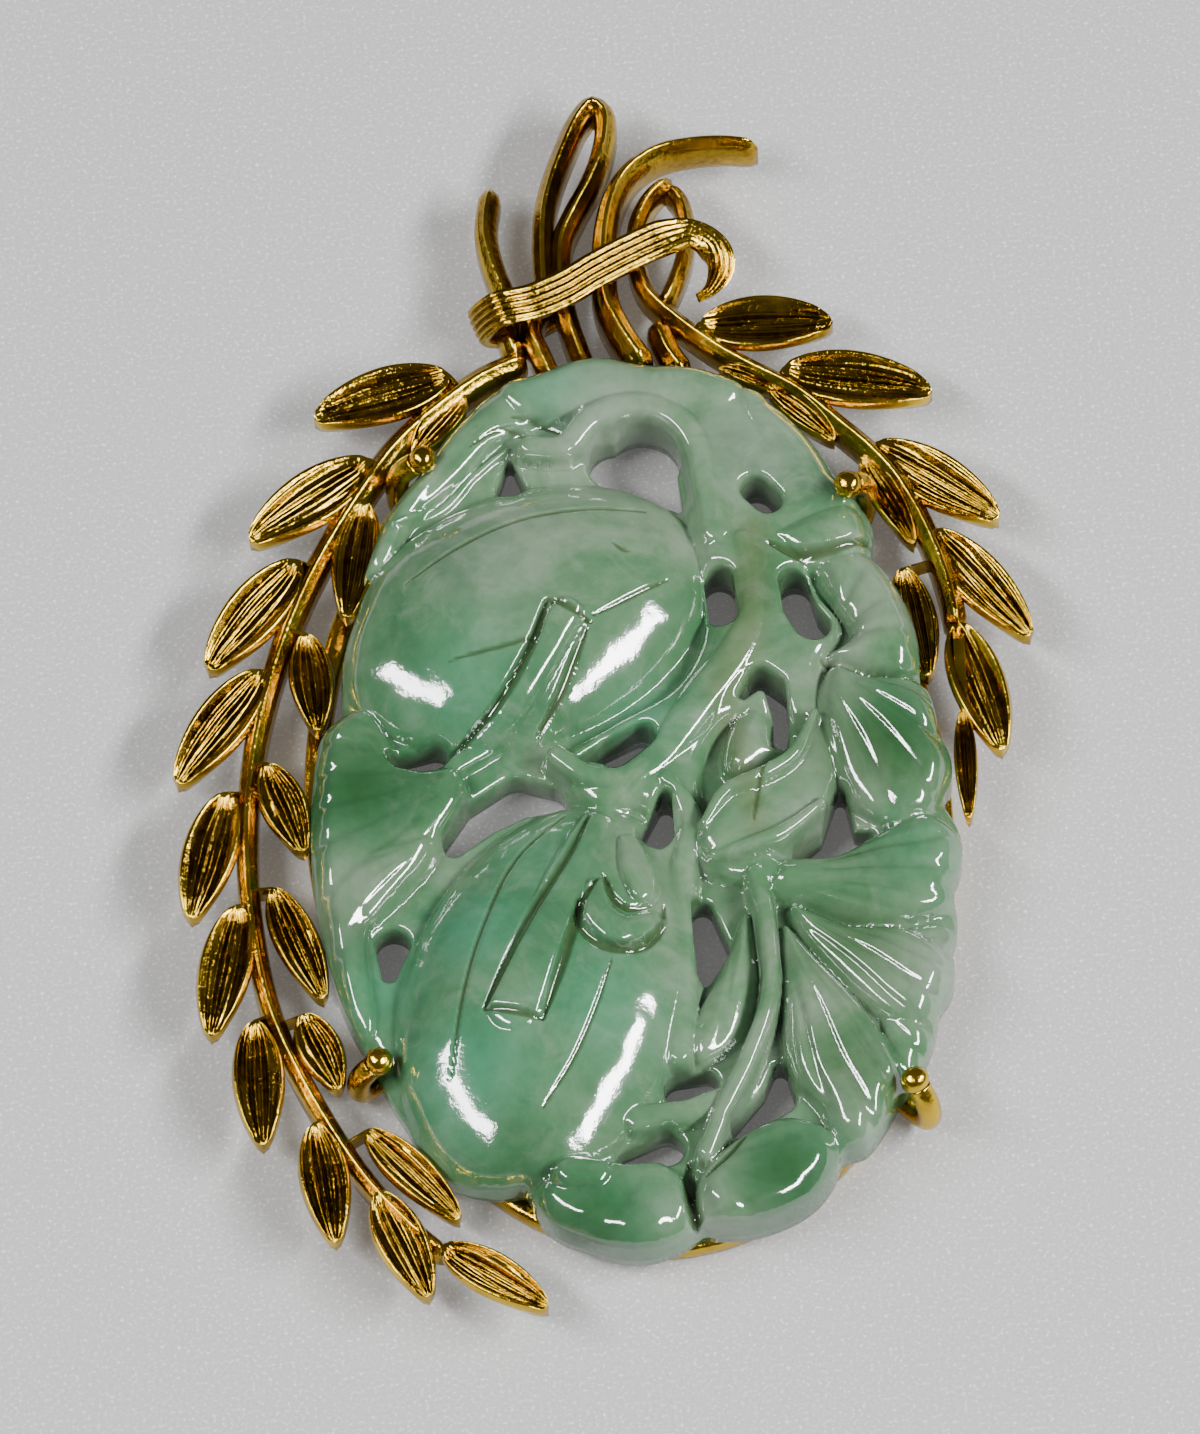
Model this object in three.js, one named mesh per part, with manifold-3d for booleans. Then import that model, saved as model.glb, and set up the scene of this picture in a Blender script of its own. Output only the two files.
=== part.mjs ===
// Carved jade plaque of two melons among leaves, in a gold setting of two leafy branches.
// Millimetres. It lies on its back: +Z is the carved face, +Y runs to the tied stems.
import * as THREE from 'three';
import { mergeVertices } from 'three/addons/utils/BufferGeometryUtils.js';
import Module from 'manifold-3d';

const wasm = await Module();
wasm.setup();

// Driving dimensions
const JADE_WIDTH = 30.5; // across the oval plaque
const JADE_LENGTH = 47.8; // along the oval plaque
const JADE_GROUND = 1.7; // thickness of the lowest carved ground
const GAP = 0.3; // clearance where two pieces touch
const RIM_WIDTH = 1.2; // the oval wire under the plaque
const RIM_HEIGHT = 1.1;
const RIM_INSET = 0.5; // the rim wire's middle, in from the plaque's sides
const RIM_END_INSET = 1.3; // and in from its ends
const CLAW_DIAMETER = 1.15;
const CLAW_HEAD = 1.15; // a claw's round head, as a share of its wire
const LEAF_THICKNESS = 1.2;
const LEAF_FLUTE_DEPTH = 0.35;
const STEM_WIDTH = 1.3;
const STEM_DEPTH = 1.8;
const STEM_SHOULDER = 0.7; // how high a stem's sides stand before they slope to its ridge
const STRIP_WIDTH = 0.6; // the tall loop's strip, which stands on edge
const STRIP_DEPTH = 2.1;
const BAND_WIDTH = 1.65;
const BAND_THICKNESS = 0.6;
const ROLL_WIDTH = 1.1; // the plaque's edge rolls over this far in
const ROLL_DROP = 0.7;

// How finely the surfaces are divided
const FACE_STEP = 1.35; // the carved face
const EDGE_STEP = 1.3; // round the plaque's edge
const WINDOW_CORNERS = 5; // round each half of a window's end
const RIM_SEGMENTS = 40;
const CLAW_SIDES = 6;
const CLAW_STEPS = 5;
const STEM_STEP = 2.4;
const LOOP_STEP = 1.5;
const BAND_STEPS = 26;
const BEYOND = 10; // how far a cutter passes what it cuts

// Heights that follow from them
const JADE_BACK = RIM_HEIGHT + GAP;
const GROUND = JADE_BACK + JADE_GROUND;
const STEM_BOTTOM = JADE_BACK;
const LEAF_BOTTOM = STEM_BOTTOM + 0.35;

// The carving is drawn on a plaque of this size and stretched to the driving size
const DRAWN = [30.5, 47.8];
const SX = JADE_WIDTH / DRAWN[0];
const SY = JADE_LENGTH / DRAWN[1];
const place = ([x, y]) => new THREE.Vector2(x * SX, y * SY);

// The plaque's edge, anticlockwise: a notch or soft corner, and how far the scallop after it swells
const EDGE = [
  [-4.3, 25.6, 0.1], [-6, 24, 0.1], [-7.6, 22.3, 0], [-9.4, 20.1, 0.15], [-11.2, 17, 0.1],
  [-12.2, 13.8, 0.25], [-13.45, 9.6, 0], [-13.5, 8.6, 0.15], [-14.7, 7, 0.85], [-15, -6.7, 0.1],
  [-13.9, -9.7, 0.1], [-12.5, -13.4, 0.1], [-11.6, -15.6, 0.25], [-9.6, -17.1, 0.15],
  [-7.3, -17.3, 0.65], [-4.9, -20.5, 0.95], [0.5, -20.45, 0.35], [4.6, -20.3, 0.5],
  [7.35, -17.4, 0.05], [8.55, -17.2, 0.12], [10.2, -15, 0.1], [11.9, -12.8, 0.1],
  [12.8, -10.3, 0.45], [13.65, -7.4, 0.42], [13.9, -4.4, 0.85], [14.2, 0.5, 0.62],
  [14.4, 3.7, 0.22], [13.95, 7.05, 0.75], [12.4, 14.2, 0.35], [12.4, 16.9, 0.1],
  [11.2, 18.5, 0.42], [8.45, 22.75, 0.05], [8.1, 23.6, 0.1], [6.8, 24.3, 0], [5.3, 25.15, 0.08],
  [3.2, 25.4, -0.12], [1.3, 26.15, 0.15], [-1, 26.25, -0.1], [-3, 25.65, 0],
];

// Openings pierced through the plaque: a route, with the opening's half width at each point
const WINDOWS = [
  [[0.85, 20.55, 1.3], [2.1, 20.4, 1.85], [3.6, 17.8, 0.22]],
  [[-4.25, 19.85, 0.72], [-4.2, 21.3, 0.2]],
  [[7.35, 17.75, 0.75], [7.85, 17.05, 0.72]],
  [[5.05, 11.2, 0.72], [5.05, 13.1, 0.72]],
  [[8.6, 12.5, 0.75], [8.75, 11, 0.85], [9.2, 10.1, 0.9]],
  [[5.5, 6.65, 0.25], [6.4, 7.45, 0.6], [7, 6.9, 0.55], [7.15, 5.2, 0.38], [7, 4.35, 0.33]],
  [[-11, 5.35, 0.6], [-9.4, 5.45, 0.75]],
  [[-2.45, 4.25, 0.15], [-0.9, 4.4, 0.85], [0.45, 5.1, 0.7]],
  [[-8.9, 0.85, 0.6], [-7.4, 2.2, 0.95], [-5.7, 3, 1.1], [-4.2, 2.75, 0.75], [-3.4, 2.25, 0.2]],
  [[0.65, -0.1, 0.85], [1.2, 1.7, 0.35]],
  [[7.1, -1.95, 0.3], [9, -1.25, 0.85], [10.5, -1.15, 0.35]],
  [[9.15, -0.8, 0.8], [9.45, 1.2, 0.25]],
  [[2.3, -4.1, 0.5], [2.55, -6.2, 0.85], [2.05, -7.7, 0.35]],
  [[-12.3, -4.1, 0.85], [-12.6, -5.6, 0.4]],
  [[0.3, -13.35, 0.8], [1.5, -13.1, 0.6]],
  [[5, -12.85, 0.35], [4.75, -14.3, 0.85], [2.75, -15.75, 0.4]],
  [[-2.4, -16.7, 0.7], [-0.7, -16.3, 0.85]],
];

// Melons: middle, half length, half width, turn in degrees, rise, and their lengthwise creases
const MELONS = [
  { at: [-4.4, 12.5], half: [9.3, 6.8], turn: 21, rise: 3.3, creases: [0.52, -0.38, 0.76] },
  { at: [-5.2, -7.9], half: [10.4, 6.9], turn: 67, rise: 3.3, creases: [0.55, -0.38] },
];
const CREASE_WIDTH = 0.07; // as a share of the melon's half width
const CREASE_DEPTH = 0.25;
const LOWEST_RELIEF = -0.3; // how far a flute may cut below the ground

// Leaves and lobes: middle x, y, half length, half width, turn in degrees, rise
const LOBES = [
  [-5, 22.6, 6, 2.9, 32, 1.1], [0.5, 24.2, 5, 2, -3, 1.1], [8.9, 19.8, 5.6, 3.3, -60, 1.2],
  [10.2, 16.2, 3, 2.4, 0, 1.4], [11.6, 10.4, 3.9, 2.7, 95, 1.6], [11.9, 3.7, 4.1, 3.4, -40, 1.3],
  [5.6, 0.8, 4, 2, 25, 1.9], [5.2, 4.6, 2.2, 1.4, 60, 1.4], [10.6, -3.2, 4.9, 2, -5, 1.4],
  [10.2, -7.9, 4.9, 2.2, -38, 1.4], [7.6, -12.2, 6, 2.5, -68, 1.4], [3.9, -17.9, 4, 2.8, 15, 1.3],
  [-3.3, -18.8, 4.1, 2.6, -15, 1.2], [-4.7, -17.6, 1.7, 1.3, 30, 2],
  [-12.6, 5.9, 2.8, 1.8, 140, 1], [-13, 2.6, 2.9, 1.6, 190, 1.1], [-13.3, -1.2, 3.1, 1.8, 245, 1.2],
  [-14, -5.2, 3.2, 1.2, 275, 0.9], [2.7, -9.6, 3, 1.2, 65, 1.5],
];

// Vines, twig, pod and curl: a route with half widths, how high it stands, and whether it lies on a melon
const VINES = [
  { rise: 1.6, route: [[-1.6, 21.4, 0.7], [0, 22.9, 0.8], [1.8, 23.4, 0.9], [3.6, 22.7, 0.9],
    [4.7, 20.9, 0.9], [5, 18.5, 0.9], [5.2, 15.6, 1]] },
  { rise: 1.5, route: [[6.5, 14.6, 0.9], [6.5, 12.3, 0.9], [6.2, 10.4, 1.1], [5.2, 8.6, 1.1],
    [3.8, 7, 1.1], [2.5, 5.4, 1.1], [0.9, 3.6, 1], [-0.9, 2.9, 0.8], [-2.4, 3.3, 0.7], [-3.6, 4.1, 0.6]] },
  { rise: 1.4, route: [[-0.8, 2.8, 0.8], [-1.6, 1.2, 0.9], [-2, -0.6, 0.8]] },
  { rise: 1.3, route: [[1.4, 2.6, 0.6], [2.3, 0.4, 0.7], [1.6, -2.4, 0.8], [1.2, -6, 0.8],
    [0.7, -10, 0.8], [0.4, -12, 0.7]] },
  { rise: 1.5, route: [[4, -2.6, 0.6], [5.1, -6.6, 0.6], [4.7, -9.8, 0.6], [3.4, -12.4, 0.7],
    [2.2, -14.9, 0.7], [1.2, -17, 0.7]] },
  { rise: 0.45, onMelon: true,
    route: [[-2.7, 10.4, 0.75], [-4.3, 8.1, 0.7], [-6.4, 5.9, 0.65], [-10.4, 3.5, 0.5]] },
  { rise: 0.35, onMelon: true,
    route: [[-2.6, 0.6, 0.7], [-4.2, -2.8, 0.75], [-5.9, -6.3, 0.8], [-6.9, -9, 0.85]] },
  { rise: 0.8, onMelon: true, route: [[-0.5, -2.2, 0.5], [-0.5, -3.5, 0.6]] },
  { rise: 0.8, onMelon: true,
    route: [[-2.5, -3.7, 0.5], [-2.4, -5.4, 0.8], [-1.2, -6.1, 0.8], [0, -5.2, 0.5]] },
];

// Broad flutes and seams cut between the leaves: a route with half widths, and a depth
const FLUTES = [
  { depth: 0.9, route: [[6.9, -6.2, 0.4], [8.4, -9.2, 0.7], [10, -11, 0.8], [12, -11.4, 0.8]] },
  { depth: 0.8, route: [[7.4, -4.4, 0.3], [10, -5.9, 0.6], [12.2, -6.1, 0.7], [13.6, -5.4, 0.5]] },
  { depth: 0.8, route: [[9.1, 4.6, 0.4], [9.4, 2.4, 0.5], [9.5, 0.6, 0.6]] },
  { depth: 0.6, route: [[9.4, 8.3, 0.4], [11, 7.5, 0.4], [13.9, 6.9, 0.4]] },
  { depth: 0.6, route: [[0.3, -17.8, 0.5], [0.1, -19.4, 0.6], [0.5, -21, 0.6]] },
  { depth: 0.5, route: [[6.2, -6.6, 0.3], [6.2, -11, 0.4], [7.6, -17, 0.5]] },
];

// Routes round the gold, in the plaque's drawn frame
const LEFT_STEM = [
  [-2.8, 27.2], [-5, 26.4], [-7.2, 25], [-9.5, 23.1], [-11.5, 20.6], [-13.6, 17.5], [-14.9, 15.2],
  [-16.7, 11], [-17.9, 7], [-18.6, 2.5], [-18.75, -1.5], [-18.3, -6.5], [-17.3, -10], [-15.9, -13.5],
  [-14.3, -16.6], [-12.3, -19.3], [-11.4, -20.2],
];
const SHORT_STEM = [[-3.5, 37.1], [-4, 34.6], [-3.8, 32.4], [-3.4, 30.6], [-3.5, 28.8], [-3.2, 27.2]];
const RIGHT_RETURN = [
  [4.1, 29.2], [4.9, 30.7], [5.4, 31.9], [5.75, 33.7], [5.6, 35.2], [5, 36.2],
];
const RIGHT_STEM = [
  [5.3, 36.5], [4.2, 35.6], [3.4, 34.2], [3.1, 32.3], [3.4, 30.3], [4.3, 28.9], [6.3, 26.7],
  [7.8, 25.4], [10, 23.7], [11.8, 21.6], [13.1, 20], [14.2, 18.2], [15.35, 15], [15.95, 12], [16.1, 9.6],
];
const RIGHT_SPUR = [[3.7, 28.6], [4, 27], [4.8, 25.3]];
const TALL_LOOP = [
  [-1.5, 25.2], [-2.1, 27.4], [-2.4, 28.6], [-1.6, 30.6], [-1.35, 33.3], [-1.05, 35.3], [-0.5, 37],
  [0.3, 38.8], [1.1, 40.3], [1.9, 41.1], [2.4, 40.6], [2.4, 39.6], [1.9, 38.1], [1.2, 36.6], [0.4, 35.1],
  [-0.1, 33.7], [-0.3, 31.6], [-0.5, 29.6], [-0.4, 28.2], [0.2, 25.4],
];
const HOOKED_STEM = [
  [9.7, 37.7], [8, 38.05], [6.4, 38.1], [4.8, 37.85], [3.4, 37], [2.4, 35.6], [1.8, 33.8], [1.5, 31.8],
  [1.4, 29.6], [1.8, 28], [2.9, 25.4],
];
const TIE = [
  [-0.6, 31, 0], [-3.2, 30, 0], [-4.9, 29.4, 0.5], [-4, 29.2, 1], [-2.2, 29.5, 1], [-0.5, 30.1, 1],
  [1, 30.9, 1], [3, 31.8, 1], [4.8, 32.4, 1], [6.3, 32.6, 0.95], [7.1, 32.1, 0.5], [6.2, 31.5, 0.05],
  [5, 30.9, 0],
];

// Leaves on the branches: where each starts and ends, and its width
const LEFT_LEAVES = [
  [[-6.6, 26.6], [-13.3, 25.1], 3], [[-10.8, 22.3], [-17, 18.7], 3], [[-14.8, 17.2], [-19.6, 11.9], 2.9],
  [[-17.1, 11.4], [-21.6, 5.9], 2.7], [[-19.3, 5], [-21.6, -1.4], 2.6], [[-19.3, -1.1], [-21.2, -7.7], 2.5],
  [[-19.1, -7.3], [-19.3, -13.7], 2.4], [[-16.8, -13], [-16.4, -19.1], 2.3],
  [[-14.2, -16.9], [-12.4, -22.4], 2.4], [[-11.5, -20], [-7, -23.6], 2.2],
  [[-6, 25.4], [-8.7, 22.5], 1.8], [[-11.3, 20], [-12.8, 13.9], 2.2], [[-14.8, 13.1], [-14.7, 7.9], 2.1],
  [[-17.3, 6.3], [-16, 1.5], 2.2], [[-17.6, -0.4], [-15.8, -6.4], 2.1], [[-16.9, -7.3], [-15.5, -10.2], 1.8],
  [[-14.4, -13.6], [-10.6, -18.6], 2],
];
const RIGHT_LEAVES = [
  [[5.8, 27.9], [12.2, 27.4], 3], [[9.5, 24.9], [16.5, 22.9], 3.1], [[13.4, 20.2], [18.8, 15.5], 2.9],
  [[15.6, 15.1], [19.5, 8.9], 2.6], [[16.1, 9.9], [17.4, 2.9], 2.6], [[15.8, 5.2], [15.4, -0.6], 1.1],
  [[9, 23.9], [6.4, 25.5], 0.9], [[8.7, 24.1], [11.5, 20.8], 1.5], [[12.7, 19.6], [14.6, 14.6], 1.5],
  [[13.9, 13.2], [14.4, 7.3], 2.1],
];

// Claws: the plaque's edge, and the head's middle over its face
const CLAWS = [
  { foot: [-9.7, 21], head: [-8.3, 21] },
  { foot: [12.7, 17.6], head: [11.7, 16.9] },
  { foot: [-14.6, -10.9], head: [-13.5, -10.7] },
  { foot: [11.7, -15.6], head: [11.1, -14.7] },
];

// Colours
const JADE = new THREE.MeshStandardMaterial({ color: 0x7fa58c, roughness: 0.15, metalness: 0 });
const GOLD = new THREE.MeshStandardMaterial({ color: 0xc8963c, roughness: 0.2, metalness: 1 });

// Helpers: closed meshes, and joining and cutting them
function solidOf(geometry) {
  const bare = geometry.clone();
  bare.deleteAttribute('normal');
  bare.deleteAttribute('uv');
  const merged = mergeVertices(bare, 1e-4);
  const vertProperties = Float32Array.from(merged.attributes.position.array);
  const triVerts = Uint32Array.from(merged.index.array);
  return new wasm.Manifold(new wasm.Mesh({ numProp: 3, vertProperties, triVerts }));
}

function geometryOf(solid) {
  const { vertProperties, triVerts } = solid.getMesh();
  const geometry = new THREE.BufferGeometry();
  geometry.setAttribute('position', new THREE.BufferAttribute(vertProperties, 3));
  geometry.setIndex(new THREE.BufferAttribute(triVerts, 1));
  const faceted = geometry.toNonIndexed();
  faceted.computeVertexNormals();
  return faceted;
}

const union = (solids) => solids.reduce((all, next) => all.add(next));

// A skin over rings of points, each anticlockwise about the way they advance, with flat ends
function loft(rings) {
  const count = rings[0].length;
  const positions = rings.flat().flatMap((point) => [point.x, point.y, point.z]);
  const index = [];
  for (let ring = 0; ring < rings.length - 1; ring += 1) {
    for (let k = 0; k < count; k += 1) {
      const here = ring * count + k;
      const beside = ring * count + ((k + 1) % count);
      index.push(here, beside, beside + count, here, beside + count, here + count);
    }
  }
  const last = (rings.length - 1) * count;
  for (let k = 1; k < count - 1; k += 1) {
    index.push(0, k + 1, k, last, last + k, last + k + 1);
  }
  const geometry = new THREE.BufferGeometry();
  geometry.setAttribute('position', new THREE.Float32BufferAttribute(positions, 3));
  geometry.setIndex(index);
  return solidOf(geometry);
}

// A slab between two heights over a flat outline
function slab(outline, bottom, top) {
  const shape = new THREE.Shape(outline);
  const geometry = new THREE.ExtrudeGeometry(shape, { depth: top - bottom, bevelEnabled: false });
  return solidOf(geometry.translate(0, 0, bottom));
}

// The jade plaque
function scallopedEdge(grow) {
  const points = [];
  EDGE.forEach((corner, i) => {
    const start = place(corner);
    const end = place(EDGE[(i + 1) % EDGE.length]);
    const along = end.clone().sub(start);
    const outward = new THREE.Vector2(along.y, -along.x).normalize();
    const steps = Math.max(1, Math.round(along.length() / EDGE_STEP));
    for (let k = 0; k < steps; k += 1) {
      const t = k / steps;
      const swell = 4 * corner[2] * t * (1 - t);
      points.push(start.clone().addScaledVector(along, t).addScaledVector(outward, swell));
    }
  });
  const count = points.length;
  return points.map((point, i) => {
    const before = points[(i + count - 1) % count];
    const after = points[(i + 1) % count];
    const outward = new THREE.Vector2(after.y - before.y, before.x - after.x).normalize();
    return point.clone().addScaledVector(outward, grow);
  });
}

// How far a place is from a route, as a share of the route's half width there
function nearness(route, x, y) {
  let nearest = Infinity;
  for (let i = 0; i < route.length - 1; i += 1) {
    const [ax, ay, ar] = route[i];
    const [bx, by, br] = route[i + 1];
    const dx = bx - ax;
    const dy = by - ay;
    const t = THREE.MathUtils.clamp(((x - ax) * dx + (y - ay) * dy) / (dx * dx + dy * dy), 0, 1);
    const away = Math.hypot(x - ax - t * dx, y - ay - t * dy);
    nearest = Math.min(nearest, away / (ar + t * (br - ar)));
  }
  return nearest;
}

function localPlace(x, y, [middleX, middleY], turn) {
  const angle = THREE.MathUtils.degToRad(turn);
  const dx = x - middleX;
  const dy = y - middleY;
  return [dx * Math.cos(angle) + dy * Math.sin(angle), dy * Math.cos(angle) - dx * Math.sin(angle)];
}

// Round profiles: 1 in the middle and 0 from the share 1 outwards
const dome = (share) => Math.sqrt(Math.max(0, 1 - share * share));

function melonHeight(melon, x, y) {
  const [along, across] = localPlace(x, y, melon.at, melon.turn);
  const u = along / melon.half[0];
  const v = across / melon.half[1];
  const body = melon.rise * Math.max(0, 1 - u * u - v * v) ** 0.6;
  const girth = Math.sqrt(Math.max(0, 1 - u * u));
  const cut = melon.creases.map((crease) => dome((v - crease * girth) / CREASE_WIDTH));
  return body - CREASE_DEPTH * Math.max(...cut) * Math.min(1, 2 * body / melon.rise);
}

// Height of the carved face above the ground, at a place in the drawn frame
function relief(x, y) {
  let leaves = 0;
  for (const [middleX, middleY, long, short, turn, rise] of LOBES) {
    const [along, across] = localPlace(x, y, [middleX, middleY], turn);
    leaves = Math.max(leaves, rise * dome(Math.hypot(along / long, across / short)) ** 0.8);
  }
  for (const flute of FLUTES) {
    leaves -= flute.depth * dome(Math.min(1, nearness(flute.route, x, y)));
  }
  const fruit = Math.max(0, ...MELONS.map((melon) => melonHeight(melon, x, y)));
  let height = Math.max(leaves, fruit, LOWEST_RELIEF);
  for (const vine of VINES) {
    const body = dome(Math.min(1, nearness(vine.route, x, y))) ** 0.7;
    const base = vine.onMelon ? fruit : 0;
    height = Math.max(height, body > 0 ? base + vine.rise * body : 0);
  }
  return height;
}

// Distance inside the edge, 0 outside it
function insetFrom(edge, x, y) {
  let nearest = Infinity;
  let inside = false;
  edge.forEach((b, i) => {
    const a = edge[(i + edge.length - 1) % edge.length];
    const dx = b.x - a.x;
    const dy = b.y - a.y;
    const t = THREE.MathUtils.clamp(((x - a.x) * dx + (y - a.y) * dy) / (dx * dx + dy * dy), 0, 1);
    nearest = Math.min(nearest, Math.hypot(x - a.x - t * dx, y - a.y - t * dy));
    if ((a.y > y) !== (b.y > y) && x < a.x + (y - a.y) / dy * dx) {
      inside = !inside;
    }
  });
  return inside ? nearest : 0;
}

// A block with the carved face on top, cut to the scalloped edge
function jadeSolid(grow) {
  const edge = scallopedEdge(grow);
  const block = slab(edge, JADE_BACK - grow, GROUND + BEYOND);
  const span = new THREE.Box2().setFromPoints(edge);
  const size = span.getSize(new THREE.Vector2()).addScalar(2 * FACE_STEP);
  const centre = span.getCenter(new THREE.Vector2());
  const divisions = [Math.round(size.x / FACE_STEP), Math.round(size.y / FACE_STEP)];
  const face = new THREE.BoxGeometry(size.x, size.y, 2, ...divisions, 1);
  face.translate(centre.x, centre.y, 0);
  const position = face.attributes.position;
  for (let i = 0; i < position.count; i += 1) {
    if (position.getZ(i) < 0) {
      position.setZ(i, JADE_BACK - BEYOND);
      continue;
    }
    const x = position.getX(i);
    const y = position.getY(i);
    const fromEdge = Math.min(1, insetFrom(edge, x, y) / ROLL_WIDTH);
    const rolled = ROLL_DROP * (1 - fromEdge) ** 2;
    position.setZ(i, GROUND + relief(x / SX, y / SY) - rolled + grow);
  }
  return block.intersect(solidOf(face));
}

// One stretch of a window: the outline round two circles
function windowOutline([ax, ay, ar], [bx, by, br]) {
  const heading = Math.atan2(by - ay, bx - ax);
  const apart = Math.hypot(bx - ax, by - ay);
  const lean = Math.acos(THREE.MathUtils.clamp((ar - br) / apart, -1, 1));
  const points = [];
  const arc = (x, y, radius, from, to) => {
    for (let k = 0; k <= WINDOW_CORNERS; k += 1) {
      const angle = from + (to - from) * k / WINDOW_CORNERS;
      points.push(place([x + radius * Math.cos(angle), y + radius * Math.sin(angle)]));
    }
  };
  arc(bx, by, br, heading - lean, heading + lean);
  arc(ax, ay, ar, heading + lean, heading + 2 * Math.PI - lean);
  return points;
}

function carvedJade() {
  const cutters = WINDOWS.flatMap((route) => route.slice(1).map((end, i) => (
    slab(windowOutline(route[i], end), JADE_BACK - BEYOND, GROUND + BEYOND)
  )));
  return jadeSolid(0).subtract(union(cutters));
}

// The rim wire and its claws
const RIM_MIDDLE = place([-0.5, 2.5]);
const RIM_HALF = new THREE.Vector2(JADE_WIDTH / 2 - RIM_INSET, JADE_LENGTH / 2 - RIM_END_INSET);

function ellipse(halfX, halfY) {
  return Array.from({ length: RIM_SEGMENTS }, (_, k) => {
    const angle = 2 * Math.PI * k / RIM_SEGMENTS;
    return new THREE.Vector2(RIM_MIDDLE.x + halfX * Math.cos(angle), RIM_MIDDLE.y + halfY * Math.sin(angle));
  });
}

function rimWire(grow) {
  const side = RIM_WIDTH / 2 + grow;
  const outer = slab(ellipse(RIM_HALF.x + side, RIM_HALF.y + side), -grow, RIM_HEIGHT + grow);
  const inner = slab(ellipse(RIM_HALF.x - side, RIM_HALF.y - side), -BEYOND, RIM_HEIGHT + BEYOND);
  return outer.subtract(inner);
}

// A claw: a wire from the rim, up past the plaque's edge and over it to a round head
function claw({ foot, head }, grow) {
  const radius = CLAW_DIAMETER / 2 + grow;
  const base = place(foot);
  const tip = place(head);
  const spoke = base.clone().sub(RIM_MIDDLE);
  const angle = Math.atan2(spoke.y / RIM_HALF.y, spoke.x / RIM_HALF.x);
  const root = new THREE.Vector2(Math.cos(angle), Math.sin(angle)).multiply(RIM_HALF).add(RIM_MIDDLE);
  const top = GROUND + Math.max(0, relief(...head)) + CLAW_DIAMETER * 0.6;
  const route = new THREE.CatmullRomCurve3([
    new THREE.Vector3(root.x, root.y, RIM_HEIGHT / 2),
    new THREE.Vector3(base.x, base.y, RIM_HEIGHT),
    new THREE.Vector3(base.x, base.y, top - CLAW_DIAMETER),
    new THREE.Vector3(tip.x, tip.y, top),
  ]);
  const section = new THREE.Shape(Array.from({ length: CLAW_SIDES }, (_, k) => {
    const round = 2 * Math.PI * k / CLAW_SIDES;
    return new THREE.Vector2(radius * Math.cos(round), radius * Math.sin(round));
  }));
  const post = new THREE.ExtrudeGeometry(section, { steps: CLAW_STEPS, extrudePath: route });
  const ball = new THREE.SphereGeometry(radius * CLAW_HEAD, CLAW_SIDES + 1, CLAW_SIDES - 2);
  return solidOf(post).add(solidOf(ball.translate(tip.x, tip.y, top)));
}

// Everything of the rim and claws above the floor
function settingSolid(grow) {
  const whole = union([rimWire(grow), ...CLAWS.map((each) => claw(each, grow))]);
  return whole.trimByPlane([0, 0, 1], -grow);
}

// A stem: a ridged strip along a route, from a width and depth at its start to those at its end
function stem(route, { width, depth, taper = 1, step = STEM_STEP }) {
  const curve = new THREE.CatmullRomCurve3(route.map((point) => {
    const at = place(point);
    return new THREE.Vector3(at.x, at.y, STEM_BOTTOM);
  }), false, 'centripetal');
  const steps = Math.round(curve.getLength() / step);
  const rings = Array.from({ length: steps + 1 }, (_, k) => {
    const t = k / steps;
    const at = curve.getPointAt(t);
    const heading = curve.getTangentAt(t);
    const side = new THREE.Vector3(heading.y, -heading.x, 0).normalize();
    const scale = 1 + (taper - 1) * t;
    const half = width * scale / 2;
    const tall = depth * (1 + scale) / 2;
    const shoulder = STEM_SHOULDER * tall;
    const profile = [[-half, 0], [half, 0], [half, shoulder], [0, tall], [-half, shoulder]];
    return profile.map(([across, up]) => at.clone().addScaledVector(side, across).setZ(STEM_BOTTOM + up));
  });
  return loft(rings.map((ring) => ring.reverse()));
}

// The nearest place on a route
function nearestOn(route, [x, y]) {
  const found = route.slice(1).map(([bx, by], i) => {
    const [ax, ay] = route[i];
    const dx = bx - ax;
    const dy = by - ay;
    const t = THREE.MathUtils.clamp(((x - ax) * dx + (y - ay) * dy) / (dx * dx + dy * dy), 0, 1);
    return [ax + t * dx, ay + t * dy];
  });
  const away = ([px, py]) => Math.hypot(px - x, py - y);
  return found.sort((a, b) => away(a) - away(b))[0];
}

// A fluted leaf on a neck from its stem: a pointed boat, its top cut with lengthwise flutes
const LEAF_TOP = [-1, -0.45, 0, 0.45, 1];
const LEAF_IS_FLUTE = [0, 1, 0, 1, 0];
// Rings along a leaf: share of its length, of its width and of its thickness. The first is its neck
const LEAF_STATIONS = [[0, 0.34, 0.5], [0.17, 0.7, 1], [0.46, 1, 1], [0.78, 0.76, 1], [1, 0.16, 0.8]];
const LEAF_ARCH = 0.25; // how far a leaf's middle rises over its ends
const LEAF_CROWN = 0.12; // how far its rim stands over its middle
const LEAF_KEEL = [[0.7, 0], [-0.7, 0]];

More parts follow.
